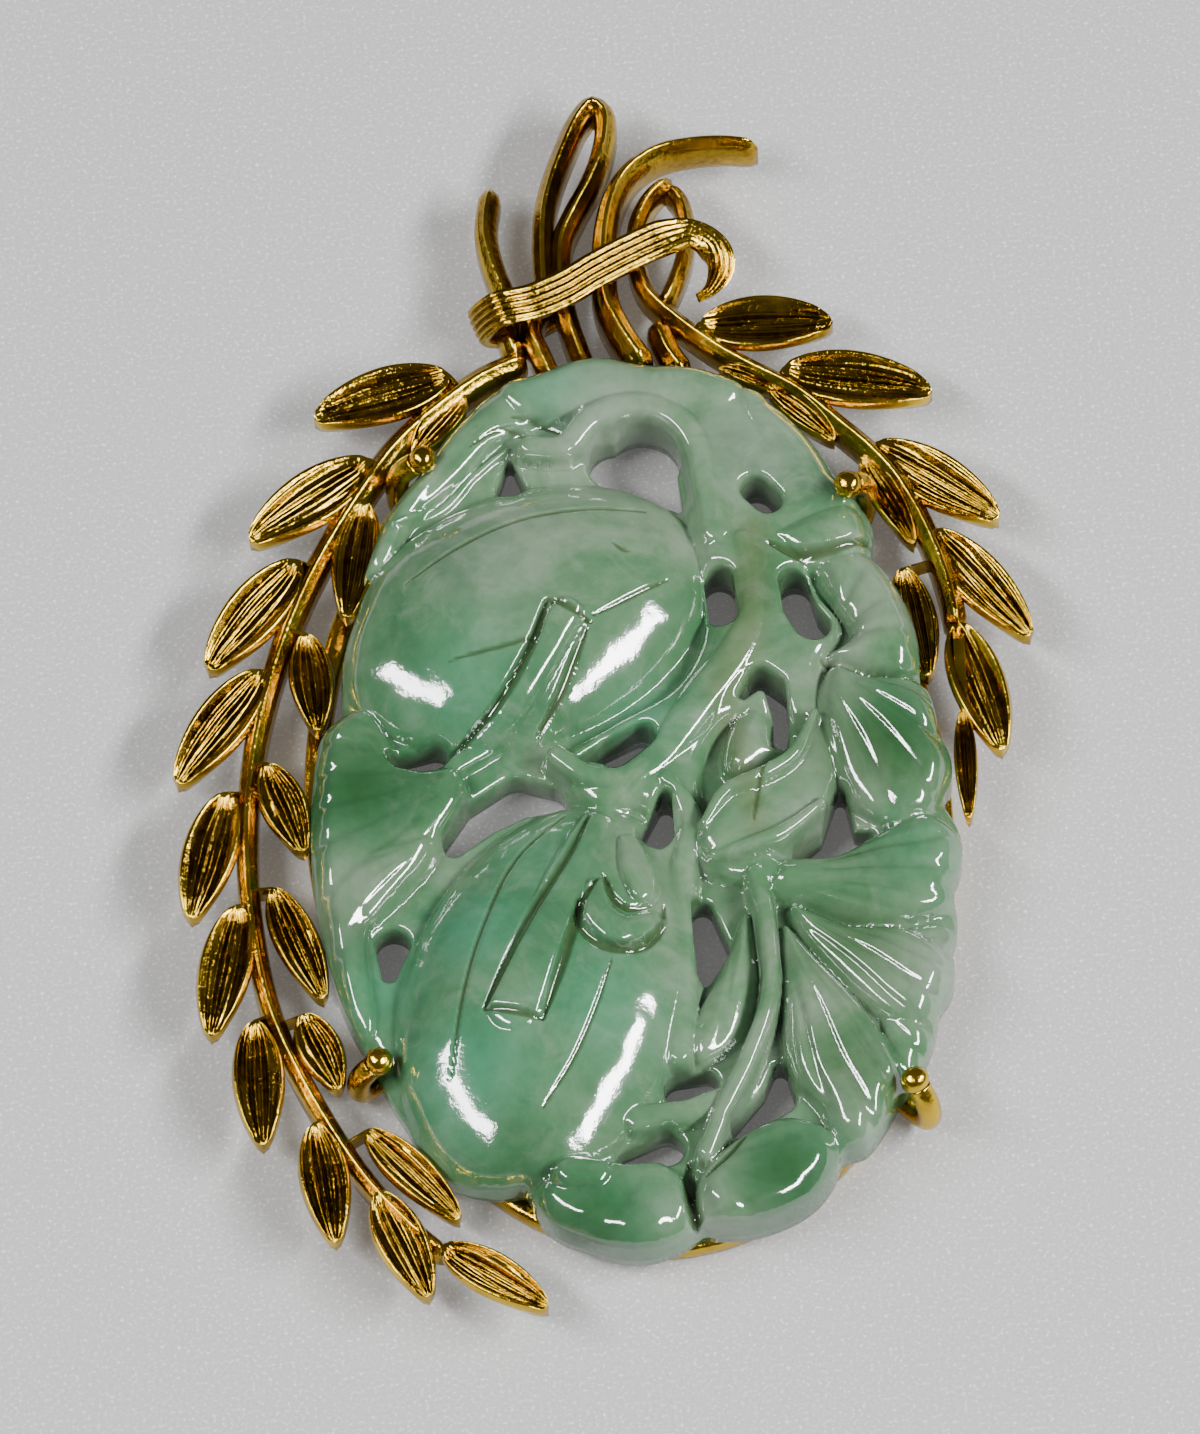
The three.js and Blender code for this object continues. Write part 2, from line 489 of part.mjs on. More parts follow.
function leaf([from, to, width], route) {
  const neck = place(nearestOn(route, from));
  const base = place(from);
  const tip = place(to);
  const along = tip.clone().sub(base);
  const side = new THREE.Vector2(along.y, -along.x).normalize();
  const rings = LEAF_STATIONS.map(([share, breadth, thick]) => {
    const middle = share > 0 ? base.clone().addScaledVector(along, share) : neck;
    const bottom = LEAF_BOTTOM + LEAF_ARCH * Math.sin(Math.PI * share);
    const top = LEAF_TOP.map((across, k) => {
      const flute = LEAF_IS_FLUTE[k] * LEAF_FLUTE_DEPTH * breadth;
      return [across, LEAF_THICKNESS - flute - LEAF_CROWN * (1 - across * across)];
    });
    return [...top, ...LEAF_KEEL].map(([across, up]) => {
      const at = middle.clone().addScaledVector(side, across * breadth * width / 2);
      return new THREE.Vector3(at.x, at.y, bottom + up * thick);
    });
  });
  return loft(rings);
}

// The ribbon that ties the stems, wrapped from their back round to their back again
const BAND_RIBS = [1, 0.6, 0.2, -0.2, -0.6, -1]; // places across it, every second one in a groove
const BAND_GROOVE = 0.15;
const BAND_TAIL = 0.93; // where its tail narrows
const BAND_TIP = 0.35; // to this share of its width

function tieBand(grow) {
  const front = STEM_BOTTOM + STRIP_DEPTH + GAP + BAND_THICKNESS / 2;
  const back = STEM_BOTTOM - GAP - BAND_THICKNESS / 2;
  const curve = new THREE.CatmullRomCurve3(TIE.map(([x, y, lift]) => {
    const at = place([x, y]);
    return new THREE.Vector3(at.x, at.y, back + lift * (front - back));
  }), false, 'centripetal');
  const level = place(TIE[8]).sub(place(TIE[0])).normalize();
  const across = new THREE.Vector3(-level.y, level.x, 0);
  const rings = Array.from({ length: BAND_STEPS + 1 }, (_, k) => {
    const t = k / BAND_STEPS;
    const at = curve.getPointAt(t);
    const outward = curve.getTangentAt(t).cross(across).normalize();
    const half = BAND_WIDTH / 2 * (t > BAND_TAIL ? BAND_TIP : 1) + grow;
    const thick = BAND_THICKNESS / 2 + grow;
    const ribs = BAND_RIBS.map((share, i) => [share * half, thick - (i % 2) * BAND_GROOVE]);
    const profile = [[-half, -thick], [half, -thick], ...ribs];
    return profile.map(([wide, out]) => (
      at.clone().addScaledVector(across, wide).addScaledVector(outward, out)
    ));
  });
  return loft(rings);
}

// The pieces, each cut clear of what it touches
const jadeClearance = jadeSolid(GAP);
const settingClearance = settingSolid(GAP);
const bandClearance = tieBand(GAP);
const clear = (solid) => (
  solid.subtract(jadeClearance).subtract(settingClearance).subtract(bandClearance)
);
const stemSizes = { width: STEM_WIDTH, depth: STEM_DEPTH };

// One body, without the slivers that the cuts leave
const TIDY = 0.02;
const biggest = (solid) => solid.decompose().sort((a, b) => b.volume() - a.volume())[0];
const largest = (solid) => biggest(biggest(solid).simplify(TIDY));

const pieces = {
  jade_carving: [carvedJade(), JADE],
  setting_rim: [settingSolid(0).subtract(jadeClearance), GOLD],
  left_branch: [clear(union([
    stem(LEFT_STEM, { ...stemSizes, taper: 0.7 }),
    stem(SHORT_STEM, { ...stemSizes, width: 1 }),
    ...LEFT_LEAVES.map((each) => leaf(each, LEFT_STEM)),
  ])), GOLD],
  right_branch: [clear(union([
    stem(RIGHT_RETURN, { ...stemSizes, width: 0.9 }),
    stem(RIGHT_STEM, { ...stemSizes, width: 0.9, taper: 1.3 }),
    stem(RIGHT_SPUR, stemSizes),
    ...RIGHT_LEAVES.map((each) => leaf(each, RIGHT_STEM)),
  ])), GOLD],
  tall_loop: [clear(stem(TALL_LOOP, { width: STRIP_WIDTH, depth: STRIP_DEPTH, step: LOOP_STEP })), GOLD],
  hooked_stem: [clear(stem(HOOKED_STEM, { width: 0.8, depth: STRIP_DEPTH, taper: 1.4 })), GOLD],
  tie_band: [tieBand(0), GOLD],
};

const part = new THREE.Group();
for (const [name, [solid, material]] of Object.entries(pieces)) {
  const mesh = new THREE.Mesh(geometryOf(largest(solid)), material);
  mesh.name = name;
  part.add(mesh);
}

// The origin is under the middle of the whole piece, on the table
const box = new THREE.Box3().setFromObject(part);
const middle = box.getCenter(new THREE.Vector3());
part.position.set(-middle.x, -middle.y, -box.min.z);

export default part;
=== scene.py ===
# %% [markdown]
# # A carved plaque in a gold setting of two leafy branches
#
# The plaque is one stone, carved with two melons among leaves and pierced right
# through. Its face is a height worked out for every place of a fine grid.
# The setting is gold wire and cast leaves, each a profile carried along a path.
#
# The forms are drawn here in the same millimetres as the part's solids, and the plaque's
# solid says where they lie in the part. Each solid gets a finer skin with its own
# finish over it, so that the solids stay light and the looks stay rich.

import math

import bpy
import numpy as np
from mathutils import Matrix, Vector
from mathutils.geometry import tessellate_polygon


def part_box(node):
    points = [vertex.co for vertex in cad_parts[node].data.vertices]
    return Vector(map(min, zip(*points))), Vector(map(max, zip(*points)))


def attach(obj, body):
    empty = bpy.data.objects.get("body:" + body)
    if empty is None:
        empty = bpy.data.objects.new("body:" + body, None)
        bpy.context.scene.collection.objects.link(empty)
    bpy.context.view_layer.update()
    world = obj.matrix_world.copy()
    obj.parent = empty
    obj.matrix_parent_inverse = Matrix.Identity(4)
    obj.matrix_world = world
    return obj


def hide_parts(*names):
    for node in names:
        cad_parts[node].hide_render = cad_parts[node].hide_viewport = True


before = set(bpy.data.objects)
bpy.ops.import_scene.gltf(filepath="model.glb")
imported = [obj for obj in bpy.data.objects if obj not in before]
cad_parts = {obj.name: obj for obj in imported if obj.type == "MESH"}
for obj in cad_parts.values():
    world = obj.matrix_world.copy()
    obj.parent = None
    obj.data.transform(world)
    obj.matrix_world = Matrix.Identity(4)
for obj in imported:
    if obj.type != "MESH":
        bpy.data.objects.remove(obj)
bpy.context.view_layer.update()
print("solids:", sorted(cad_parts))

# %% [markdown]
# ## Frames
#
# The drawing is in millimetres from a place near the middle of the stone, and the part
# is kept in metres from the middle of the whole piece. The shift between the two could
# be typed, but it is found from the plaque's solid, whose lowest corner has a known
# place in the drawing. So it stays right if the part is moved.

# %% The drawing's frame
MM = 0.001
PLAQUE_CORNER = (-15.706, -21.425)
ORIGIN = np.array(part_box("jade_carving")[0][:2]) / MM - PLAQUE_CORNER
BACK = 1.4
GROUND = 3.1


def to_part(points):
    """Drawn millimetres (..., 3) to the part's metres: a shift in the plane, then a scale."""
    points = np.array(points, float)
    points[..., :2] += ORIGIN
    return points * MM


print("the drawing's origin in the part, mm:", ORIGIN.round(3))

# %% [markdown]
# ## The camera
#
# The piece lies face up on a table, and is looked at from half a metre away on the side
# of the plaque's foot, 29 degrees from straight down. A camera can be aimed with a
# constraint, but here its three axes are worked out from the angles, so that it can
# also be turned a little about its own axis. The long lens fills the picture.

# %% Camera
TILT = 0.50736
CAMERA_ROLL = 0.06512
CAMERA_TURN = math.radians(2.814)
CAMERA_DISTANCE = 0.5
LENS = 262.7
TARGET = (-1.254, 8.508, 0)

sideways = Vector((math.cos(CAMERA_TURN), -math.sin(CAMERA_TURN), 0))
onward = Vector((math.sin(CAMERA_TURN), math.cos(CAMERA_TURN), 0))
upright = Vector((0, 0, 1))
away = math.cos(TILT) * upright - math.sin(TILT) * onward
over = math.cos(TILT) * onward + math.sin(TILT) * upright
right = math.cos(CAMERA_ROLL) * sideways - math.sin(CAMERA_ROLL) * over
top = math.sin(CAMERA_ROLL) * sideways + math.cos(CAMERA_ROLL) * over
turn = Matrix((right, top, away)).transposed().to_4x4()
target = Vector(to_part(TARGET))
camera_data = bpy.data.cameras.new("camera")
camera_data.lens = LENS
camera_data.sensor_width = 36
camera = bpy.data.objects.new("camera", camera_data)
camera.matrix_world = Matrix.Translation(target + CAMERA_DISTANCE * away) @ turn
bpy.context.scene.collection.objects.link(camera)
bpy.context.scene.camera = camera
print("camera at", [round(c, 4) for c in camera.location])

# %% [markdown]
# ## Helpers for meshes
#
# Every piece is made the same way: whole arrays of points and faces go into a mesh, and
# an attribute holds one number per point, which a material reads. That is quicker than
# modelling by hand, and every number can still be found and changed. Curves through
# chosen places are centripetal, because these make no loops between close places.

# %% Mesh helpers


def make_piece(name, points, faces, material, node, attributes):
    """A mesh object from arrays of points and faces (3 or 4 corners), riding on the part's body."""
    mesh = bpy.data.meshes.new(name)
    mesh.from_pydata(to_part(points), [], [list(face) for face in faces])
    for key, values in attributes.items():
        layer = mesh.attributes.new(key, "FLOAT", "POINT")
        layer.data.foreach_set("value", np.asarray(values, np.float32))
    mesh.polygons.foreach_set("use_smooth", [True] * len(mesh.polygons))
    mesh.materials.append(material)
    mesh.update()
    piece = bpy.data.objects.new(name, mesh)
    bpy.context.scene.collection.objects.link(piece)
    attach(piece, "root")
    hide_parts(node)
    print(name, len(mesh.vertices), "points,", len(mesh.polygons), "faces")
    return piece


def smooth_route(route, step, closed=False):
    """Points about a step apart on the centripetal curve through a route, all columns carried along."""
    route = np.asarray(route, float)
    if closed:
        knots = np.vstack([route[-1:], route, route[:2]])
    else:
        knots = np.vstack([2 * route[0] - route[1], route, 2 * route[-1] - route[-2]])
    gaps = np.linalg.norm(np.diff(knots[:, :2], axis=0), axis=1) ** 0.5 + 1e-9
    pieces = []
    for i in range(1, len(knots) - 2):
        t0, t1, t2, t3 = np.cumsum([0, gaps[i - 1], gaps[i], gaps[i + 1]])
        count = max(2, int(round(np.linalg.norm(knots[i + 1, :2] - knots[i, :2]) / step)))
        t = np.linspace(t1, t2, count, endpoint=False)[:, None]
        p0, p1, p2, p3 = knots[i - 1 : i + 3]
        a1 = (t1 - t) / (t1 - t0) * p0 + (t - t0) / (t1 - t0) * p1
        a2 = (t2 - t) / (t2 - t1) * p1 + (t - t1) / (t2 - t1) * p2
        a3 = (t3 - t) / (t3 - t2) * p2 + (t - t2) / (t3 - t2) * p3
        b1 = (t2 - t) / (t2 - t0) * a1 + (t - t0) / (t2 - t0) * a2
        b2 = (t3 - t) / (t3 - t1) * a2 + (t - t1) / (t3 - t1) * a3
        pieces.append((t2 - t) / (t2 - t1) * b1 + (t - t1) / (t2 - t1) * b2)
    if not closed:
        pieces.append(route[-1:])
    return np.vstack(pieces)


def smoothstep(values):
    """0 below 0, 1 above 1, and an easy bend between."""
    values = np.clip(values, 0, 1)
    return values * values * (3 - 2 * values)


print("a bend through 3 places has", len(smooth_route([(0, 0), (1, 0), (1, 1)], 0.1)), "points")


# %% [markdown]
# ## The plaque's outline and windows
#
# The stone's edge follows the leaves and melons carved on it, so it is a run of
# scallops: a corner, and how far the scallop after it swells. A window can be opened by
# drilling and then sawing along a line, so it is a route with the
# opening's half width at each place. From both, one function tells how far any place
# is from the edge, which is easier to build on than cutting one mesh with another.

# %% Outline and windows
EDGE = [
    (-4.3, 25.6, 0.1), (-6, 24, 0.1), (-7.6, 22.3, 0), (-9.4, 20.1, 0.15), (-11.2, 17, 0.1),
    (-12.2, 13.8, 0.25), (-13.45, 9.6, 0), (-13.5, 8.6, 0.15), (-14.7, 7, 0.85), (-15, -6.7, 0.1),
    (-13.9, -9.7, 0.1), (-12.5, -13.4, 0.1), (-11.6, -15.6, 0.25), (-9.6, -17.1, 0.15),
    (-7.3, -17.3, 0.65), (-4.9, -20.5, 0.95), (0.5, -20.45, 0.35), (4.6, -20.3, 0.5),
    (7.35, -17.4, 0.05), (8.55, -17.2, 0.12), (10.2, -15, 0.1), (11.9, -12.8, 0.1),
    (12.8, -10.3, 0.45), (13.65, -7.4, 0.42), (13.9, -4.4, 0.85), (14.2, 0.5, 0.62),
    (14.4, 3.7, 0.22), (13.95, 7.05, 0.75), (12.4, 14.2, 0.35), (12.4, 16.9, 0.1),
    (11.2, 18.5, 0.42), (8.45, 22.75, 0.05), (8.1, 23.6, 0.1), (6.8, 24.3, 0), (5.3, 25.15, 0.08),
    (3.2, 25.4, -0.12), (1.3, 26.15, 0.15), (-1, 26.25, -0.1), (-3, 25.65, 0),
]
WINDOWS = [
    [(0.85, 20.55, 1.3), (2.1, 20.4, 1.85), (3.6, 17.8, 0.22)],
    [(-4.25, 19.85, 0.72), (-4.2, 21.3, 0.2)],
    [(7.35, 17.75, 0.75), (7.85, 17.05, 0.72)],
    [(5.05, 11.2, 0.72), (5.05, 13.1, 0.72)],
    [(8.6, 12.5, 0.75), (8.75, 11, 0.85), (9.2, 10.1, 0.9)],
    [(5.5, 6.65, 0.25), (6.4, 7.45, 0.6), (7, 6.9, 0.55), (7.15, 5.2, 0.38), (7, 4.35, 0.33)],
    [(-11, 5.35, 0.6), (-9.4, 5.45, 0.75)],
    [(-2.45, 4.25, 0.15), (-0.9, 4.4, 0.85), (0.45, 5.1, 0.7)],
    [(-8.9, 0.85, 0.6), (-7.4, 2.2, 0.95), (-5.7, 3, 1.1), (-4.2, 2.75, 0.75), (-3.4, 2.25, 0.2)],
    [(0.65, -0.1, 0.85), (1.2, 1.7, 0.35)],
    [(7.1, -1.95, 0.3), (9, -1.25, 0.85), (10.5, -1.15, 0.35)],
    [(9.15, -0.8, 0.8), (9.45, 1.2, 0.25)],
    [(2.3, -4.1, 0.5), (2.55, -6.2, 0.85), (2.05, -7.7, 0.35)],
    [(-12.3, -4.1, 0.85), (-12.6, -5.6, 0.4)],
    [(0.3, -13.35, 0.8), (1.5, -13.1, 0.6)],
    [(5, -12.85, 0.35), (4.75, -14.3, 0.85), (2.75, -15.75, 0.4)],
    [(-2.4, -16.7, 0.7), (-0.7, -16.3, 0.85)],
]
print(len(EDGE), "scallops and", len(WINDOWS), "windows")

# %% The closed outline
EDGE_STEP = 0.2


def scalloped_outline():
    """Dense closed outline: each scallop is a chord with a parabola's swell, then the corners are eased."""
    points = []
    for (ax, ay, swell), (bx, by, _) in zip(EDGE, EDGE[1:] + EDGE[:1]):
        length = math.hypot(bx - ax, by - ay)
        t = np.arange(0, 1, EDGE_STEP / length)
        outward = np.array([by - ay, ax - bx]) / length
        arc = 4 * swell * t * (1 - t)
        points.append(np.stack([ax + t * (bx - ax), ay + t * (by - ay)], 1) + arc[:, None] * outward)
    points = np.vstack(points)
    for _ in range(3):
        points = (np.roll(points, 1, 0) + 2 * points + np.roll(points, -1, 0)) / 4
    return points


outline = scalloped_outline()
print("outline points:", len(outline))


# %% Distances
def distance_inside(outline, x, y):
    """Distance to the nearest stretch of a closed outline, positive inside, by a count of crossings."""
    nearest = np.full(x.shape, np.inf)
    inside = np.zeros(x.shape, bool)
    for (ax, ay), (bx, by) in zip(outline, np.roll(outline, -1, 0)):
        dx, dy = bx - ax, by - ay
        t = np.clip(((x - ax) * dx + (y - ay) * dy) / (dx * dx + dy * dy), 0, 1)
        nearest = np.minimum(nearest, np.hypot(x - ax - t * dx, y - ay - t * dy))
        if dy != 0:
            inside ^= ((ay > y) != (by > y)) & (x < ax + (y - ay) / dy * dx)
    return np.where(inside, nearest, -nearest)


def from_route(route, x, y):
    """Distance to a route less the half width there, and as a share of it, over all its stretches."""
    away = np.full(x.shape, np.inf)
    share = np.full(x.shape, np.inf)
    for a, b in zip(route[:-1], route[1:]):
        dx, dy = b[0] - a[0], b[1] - a[1]
        t = np.clip(((x - a[0]) * dx + (y - a[1]) * dy) / (dx * dx + dy * dy), 0, 1)
        half = a[2] + t * (b[2] - a[2])
        distance = np.hypot(x - a[0] - t * dx, y - a[1] - t * dy)
        away = np.minimum(away, distance - half)
        share = np.minimum(share, distance / half)
    return away, share


print("the plaque's origin lies", distance_inside(outline, np.zeros(1), np.zeros(1)).round(2), "mm inside")

# %% [markdown]
# ## The carved face
#
# A relief carving can be sculpted by hand, or written as a height for every place. The
# second way is chosen, as each form keeps its own few numbers. Vines and bosses are
# routes whose rows are x, y, half width and height above the ground. Leaves are
# outlines, with rays cut from a hub. The highest form wins wherever they meet, so a
# leaf's edge stays crisp where it lies over another. Melons are domes. What lies on
# them is added, and lines and grooves are cut last: depth, half width and places.

# %% Carving tables
MELONS = [
    {"at": (-4.4, 12.5), "half": (9.3, 6.8), "turn": 21, "rise": 3.3},
    {"at": (-5.2, -7.9), "half": (10.4, 6.9), "turn": 67, "rise": 3.3},
]
FORMS = {
    "crest": [(-3, 24.6, 1.5, 1.3), (0.5, 24.8, 1.9, 1.5), (3.5, 24.1, 1.9, 1.5), (6, 23.6, 1.7, 1.4)],
    "arch": [(-3.2, 21.5, 0.7, 1.2), (-1.5, 21.3, 0.8, 1.3), (0, 22.6, 0.9, 1.6), (1.8, 23, 0.95, 1.7),
             (3.6, 22.4, 0.95, 1.6), (4.7, 20.9, 0.9, 1.5), (5, 18.5, 0.9, 1.5), (5.2, 15.6, 1, 1.5)],
    "vine": [(6.4, 15, 0.8, 1.45), (6.6, 12.3, 0.9, 1.5), (6.2, 10.4, 1.1, 1.55), (5.2, 8.6, 1.2, 1.55),
             (3.8, 7, 1.2, 1.5), (2.5, 5.4, 1.2, 1.5), (0.9, 3.6, 1, 1.4), (-0.9, 2.9, 0.8, 1.3),
             (-2.4, 3.3, 0.7, 1.4), (-3.6, 4.3, 0.7, 1.6)],
    "fold": [(2.9, -0.4, 0.4, 1.9), (4.1, 1.1, 0.55, 2.2), (6.1, 1.8, 0.6, 2.3), (7.5, 2.7, 0.55, 2.2),
             (8.7, 4.9, 0.3, 1.9)],
    "folded_edge": [(3.2, -2.1, 0.4, 1.8), (5, -1.8, 0.6, 2.1), (6.6, -1.3, 0.6, 2.1), (8.5, 0.1, 0.4, 1.8)],
    "fan_node": [(4, -2.2, 0.9, 1.1), (5.6, -2.8, 1, 1.3)],
    "fan_stem": [(5, -3, 0.7, 1.4), (5.2, -6.2, 0.55, 1.7), (4.9, -9.6, 0.55, 1.7), (3.6, -12.6, 0.6, 1.5),
                 (2.2, -15, 0.6, 1.4), (1.1, -17.2, 0.6, 1.3)],
    "stalk": [(1.4, 2.6, 0.6, 1.3), (2.3, 0.4, 0.7, 1.2), (1.6, -2.4, 0.8, 1.3), (1.3, -6, 0.8, 1.3),
              (0.7, -10, 0.8, 1.2), (0.4, -12, 0.7, 1.1)],
    "boss_foot": [(-5.3, -17.7, 1, 1.8), (-4.1, -17.9, 1, 1.7)],
    "neck_foot": [(-1.9, -14.9, 0.8, 0.9), (0.5, -14.8, 0.7, 1), (2, -14.5, 0.8, 1)],
}
LEAVES = {
    "left_fan": {"hub": (-7.4, 4), "rise": 1.5, "veins": 26, "cut": 0.15, "outline": [
        (-8.3, 4.6), (-10.4, 4.9), (-12.4, 8.3), (-14.6, 7.6), (-15.7, 3), (-15.7, -4), (-14.9, -9.2),
        (-13.7, -9), (-13.3, -3.4), (-11.6, -2), (-9.6, 0.3), (-8, 2.6)]},
    "left_tip": {"hub": (-10.2, 0.2), "rise": 1.6, "veins": 22, "cut": 0.12, "outline": [
        (-9.6, 1), (-12.4, 1.2), (-14.6, -0.6), (-14.6, -2.6), (-13.4, -3.3), (-11.8, -2.1), (-10, -0.4)]},
    "top_left": {"hub": (-11, 15.6), "rise": 1.3, "veins": 22, "cut": 0.16, "outline": [
        (-12, 15.4), (-11, 18.6), (-8.6, 21.6), (-5.4, 25), (-1.6, 26), (-1.8, 23.6), (-4.6, 22.2),
        (-6.8, 20), (-9.2, 18), (-10.4, 16)]},
    "upper_right": {"hub": (7.2, 23.4), "rise": 1.5, "veins": 18, "cut": 0.12, "outline": [
        (6.7, 23.6), (8.6, 23.8), (10.6, 20.6), (11.8, 17.4), (10.4, 16.4), (8.8, 16.8), (7.4, 19.6)]},
    "right_lobe": {"hub": (9.4, 9.2), "rise": 1.7, "veins": 14, "cut": 0.12, "outline": [
        (9.8, 13.8), (12.5, 13.9), (13.8, 11.5), (14.3, 8.5), (14, 7.2), (11.5, 7.3), (9.6, 8.3),
        (10.9, 9.4), (10.3, 11)]},
    "right_fan": {"hub": (9.2, 8), "rise": 1.7, "veins": 24, "cut": 0.2, "outline": [
        (9.2, 7), (10, 8), (11.5, 7.3), (14.4, 6.5), (15.2, 4), (15, 1.5), (13.6, -0.4), (11.5, -0.8),
        (10.2, 0), (9.3, 2), (8.7, 4.5)]},
    "plate": {"hub": (6, 12), "rise": 1.4, "veins": 0, "cut": 0, "outline": [
        (4.2, 22.6), (6.6, 24), (9.2, 22.6), (11.9, 18), (12.2, 16.4), (9.6, 14.8), (9.6, 12.2), (10.6, 10),
        (9.4, 7.4), (8.6, 4.6), (5, 5.6), (3.2, 3.4), (2.8, 0.5), (1.8, -3), (0, -3), (0.2, 1.2),
        (-2.4, 1.6), (-3.6, 4.4), (-1, 6), (2.4, 7.8), (4, 10.4), (4.2, 13), (3.9, 16.6), (4.1, 19)]},
    "boss": {"hub": (7.4, 15.1), "rise": 1.8, "veins": 0, "cut": 0, "outline": [
        (7.4, 15.1), (8.4, 13.8), (9.9, 13.1), (12.3, 13.7), (12.7, 14.9), (11.7, 16.7), (8.8, 16)]},
    "folded": {"hub": (2.1, -1), "rise": 2, "veins": 16, "cut": 0.08, "outline": [
        (2.1, -1), (3, 0.7), (4.1, 1.8), (6.2, 2.7), (7.9, 4), (8.8, 5.7), (9.1, 4.9), (9.4, 1.8),
        (8.8, -0.2), (7.2, -1.9), (4.9, -2.5), (2.9, -2.7)]},
    "petal": {"hub": (4.1, 2.7), "rise": 1.7, "veins": 0, "cut": 0, "outline": [
        (4.1, 2.7), (4.5, 4.9), (5.8, 6.2), (6.7, 5.8), (6.8, 3.9), (7.4, 3.6), (6.4, 2.8), (5, 2.1)]},
    "fan_upper": {"hub": (5.4, -3.3), "rise": 1.7, "veins": 34, "cut": 0.17, "outline": [
        (5.8, -2.3), (9, -2.2), (11, -1.2), (13.5, -0.5), (15, -2), (14.5, -5), (13, -5.9), (10, -6.1),
        (7, -4.7), (5.4, -4)]},
    "fan_middle": {"hub": (5.6, -4.4), "rise": 1.5, "veins": 36, "cut": 0.17, "outline": [
        (6.4, -4.6), (9, -5.9), (12, -6.5), (13.8, -8.8), (13, -11.2), (11, -11.4), (8.5, -9.4),
        (6.6, -6.4)]},
    "fan_lower": {"hub": (5.6, -5.2), "rise": 1.8, "veins": 40, "cut": 0.2, "outline": [
        (6, -5.6), (7.4, -7.6), (9.4, -10.6), (10.6, -14), (10.2, -17), (8.6, -18.6), (7.3, -18.4),
        (6.6, -15.6), (5.4, -13.4), (5.5, -9)]},
    "flange": {"hub": (9, -9), "rise": 0.6, "veins": 26, "cut": 0.12, "outline": [
        (11.6, -6.4), (14.3, -6.8), (14, -10), (13.4, -12), (12, -14.2), (10.4, -15.4), (10, -11)]},
    "blade": {"hub": (4.2, -4.4), "rise": 1.4, "veins": 30, "cut": 0.1, "outline": [
        (4.4, -4.6), (2.8, -7.6), (0.9, -10.8), (1.2, -12.3), (3.3, -11.4), (4.5, -8)]},
    "foot_left": {"hub": (-0.4, -17), "rise": 1.6, "veins": 9, "cut": 0.14, "outline": [
        (-7.2, -17.8), (-7.3, -20.6), (-4, -22.4), (0, -21.9), (0.2, -19), (-0.8, -17.4), (-3.4, -16.9)]},
    "foot_right": {"hub": (0.6, -17.8), "rise": 1.8, "veins": 12, "cut": 0.14, "outline": [
        (0.5, -18.4), (0.5, -21.6), (4, -22.1), (7.5, -19), (7.2, -16.8), (5, -15.6), (2.4, -16.6)]},
}
ON_MELONS = {
    "twig": [(-2.4, 10.9, 0.8, 0.45), (-4.2, 8.3, 0.75, 0.5), (-6, 6.3, 0.7, 0.6), (-8.2, 4.9, 0.6, 0.8),
             (-10.4, 4, 0.5, 0.5)],
    "pod": [(-2.2, 0.6, 0.7, 0.3), (-3.9, -3, 0.95, 0.3), (-5.6, -6.6, 1.1, 0.3), (-7, -9.6, 1.25, 0.28)],
    "tongue": [(-0.7, -0.9, 0.5, 0.4), (-0.5, -2.6, 0.85, 0.5), (-0.35, -3.9, 0.7, 0.5)],
    "curl": [(-2.5, -3.7, 0.5, 0.3), (-2.6, -5.2, 0.8, 0.5), (-1.5, -6.3, 0.9, 0.55), (0, -5.5, 0.5, 0.3)],
}
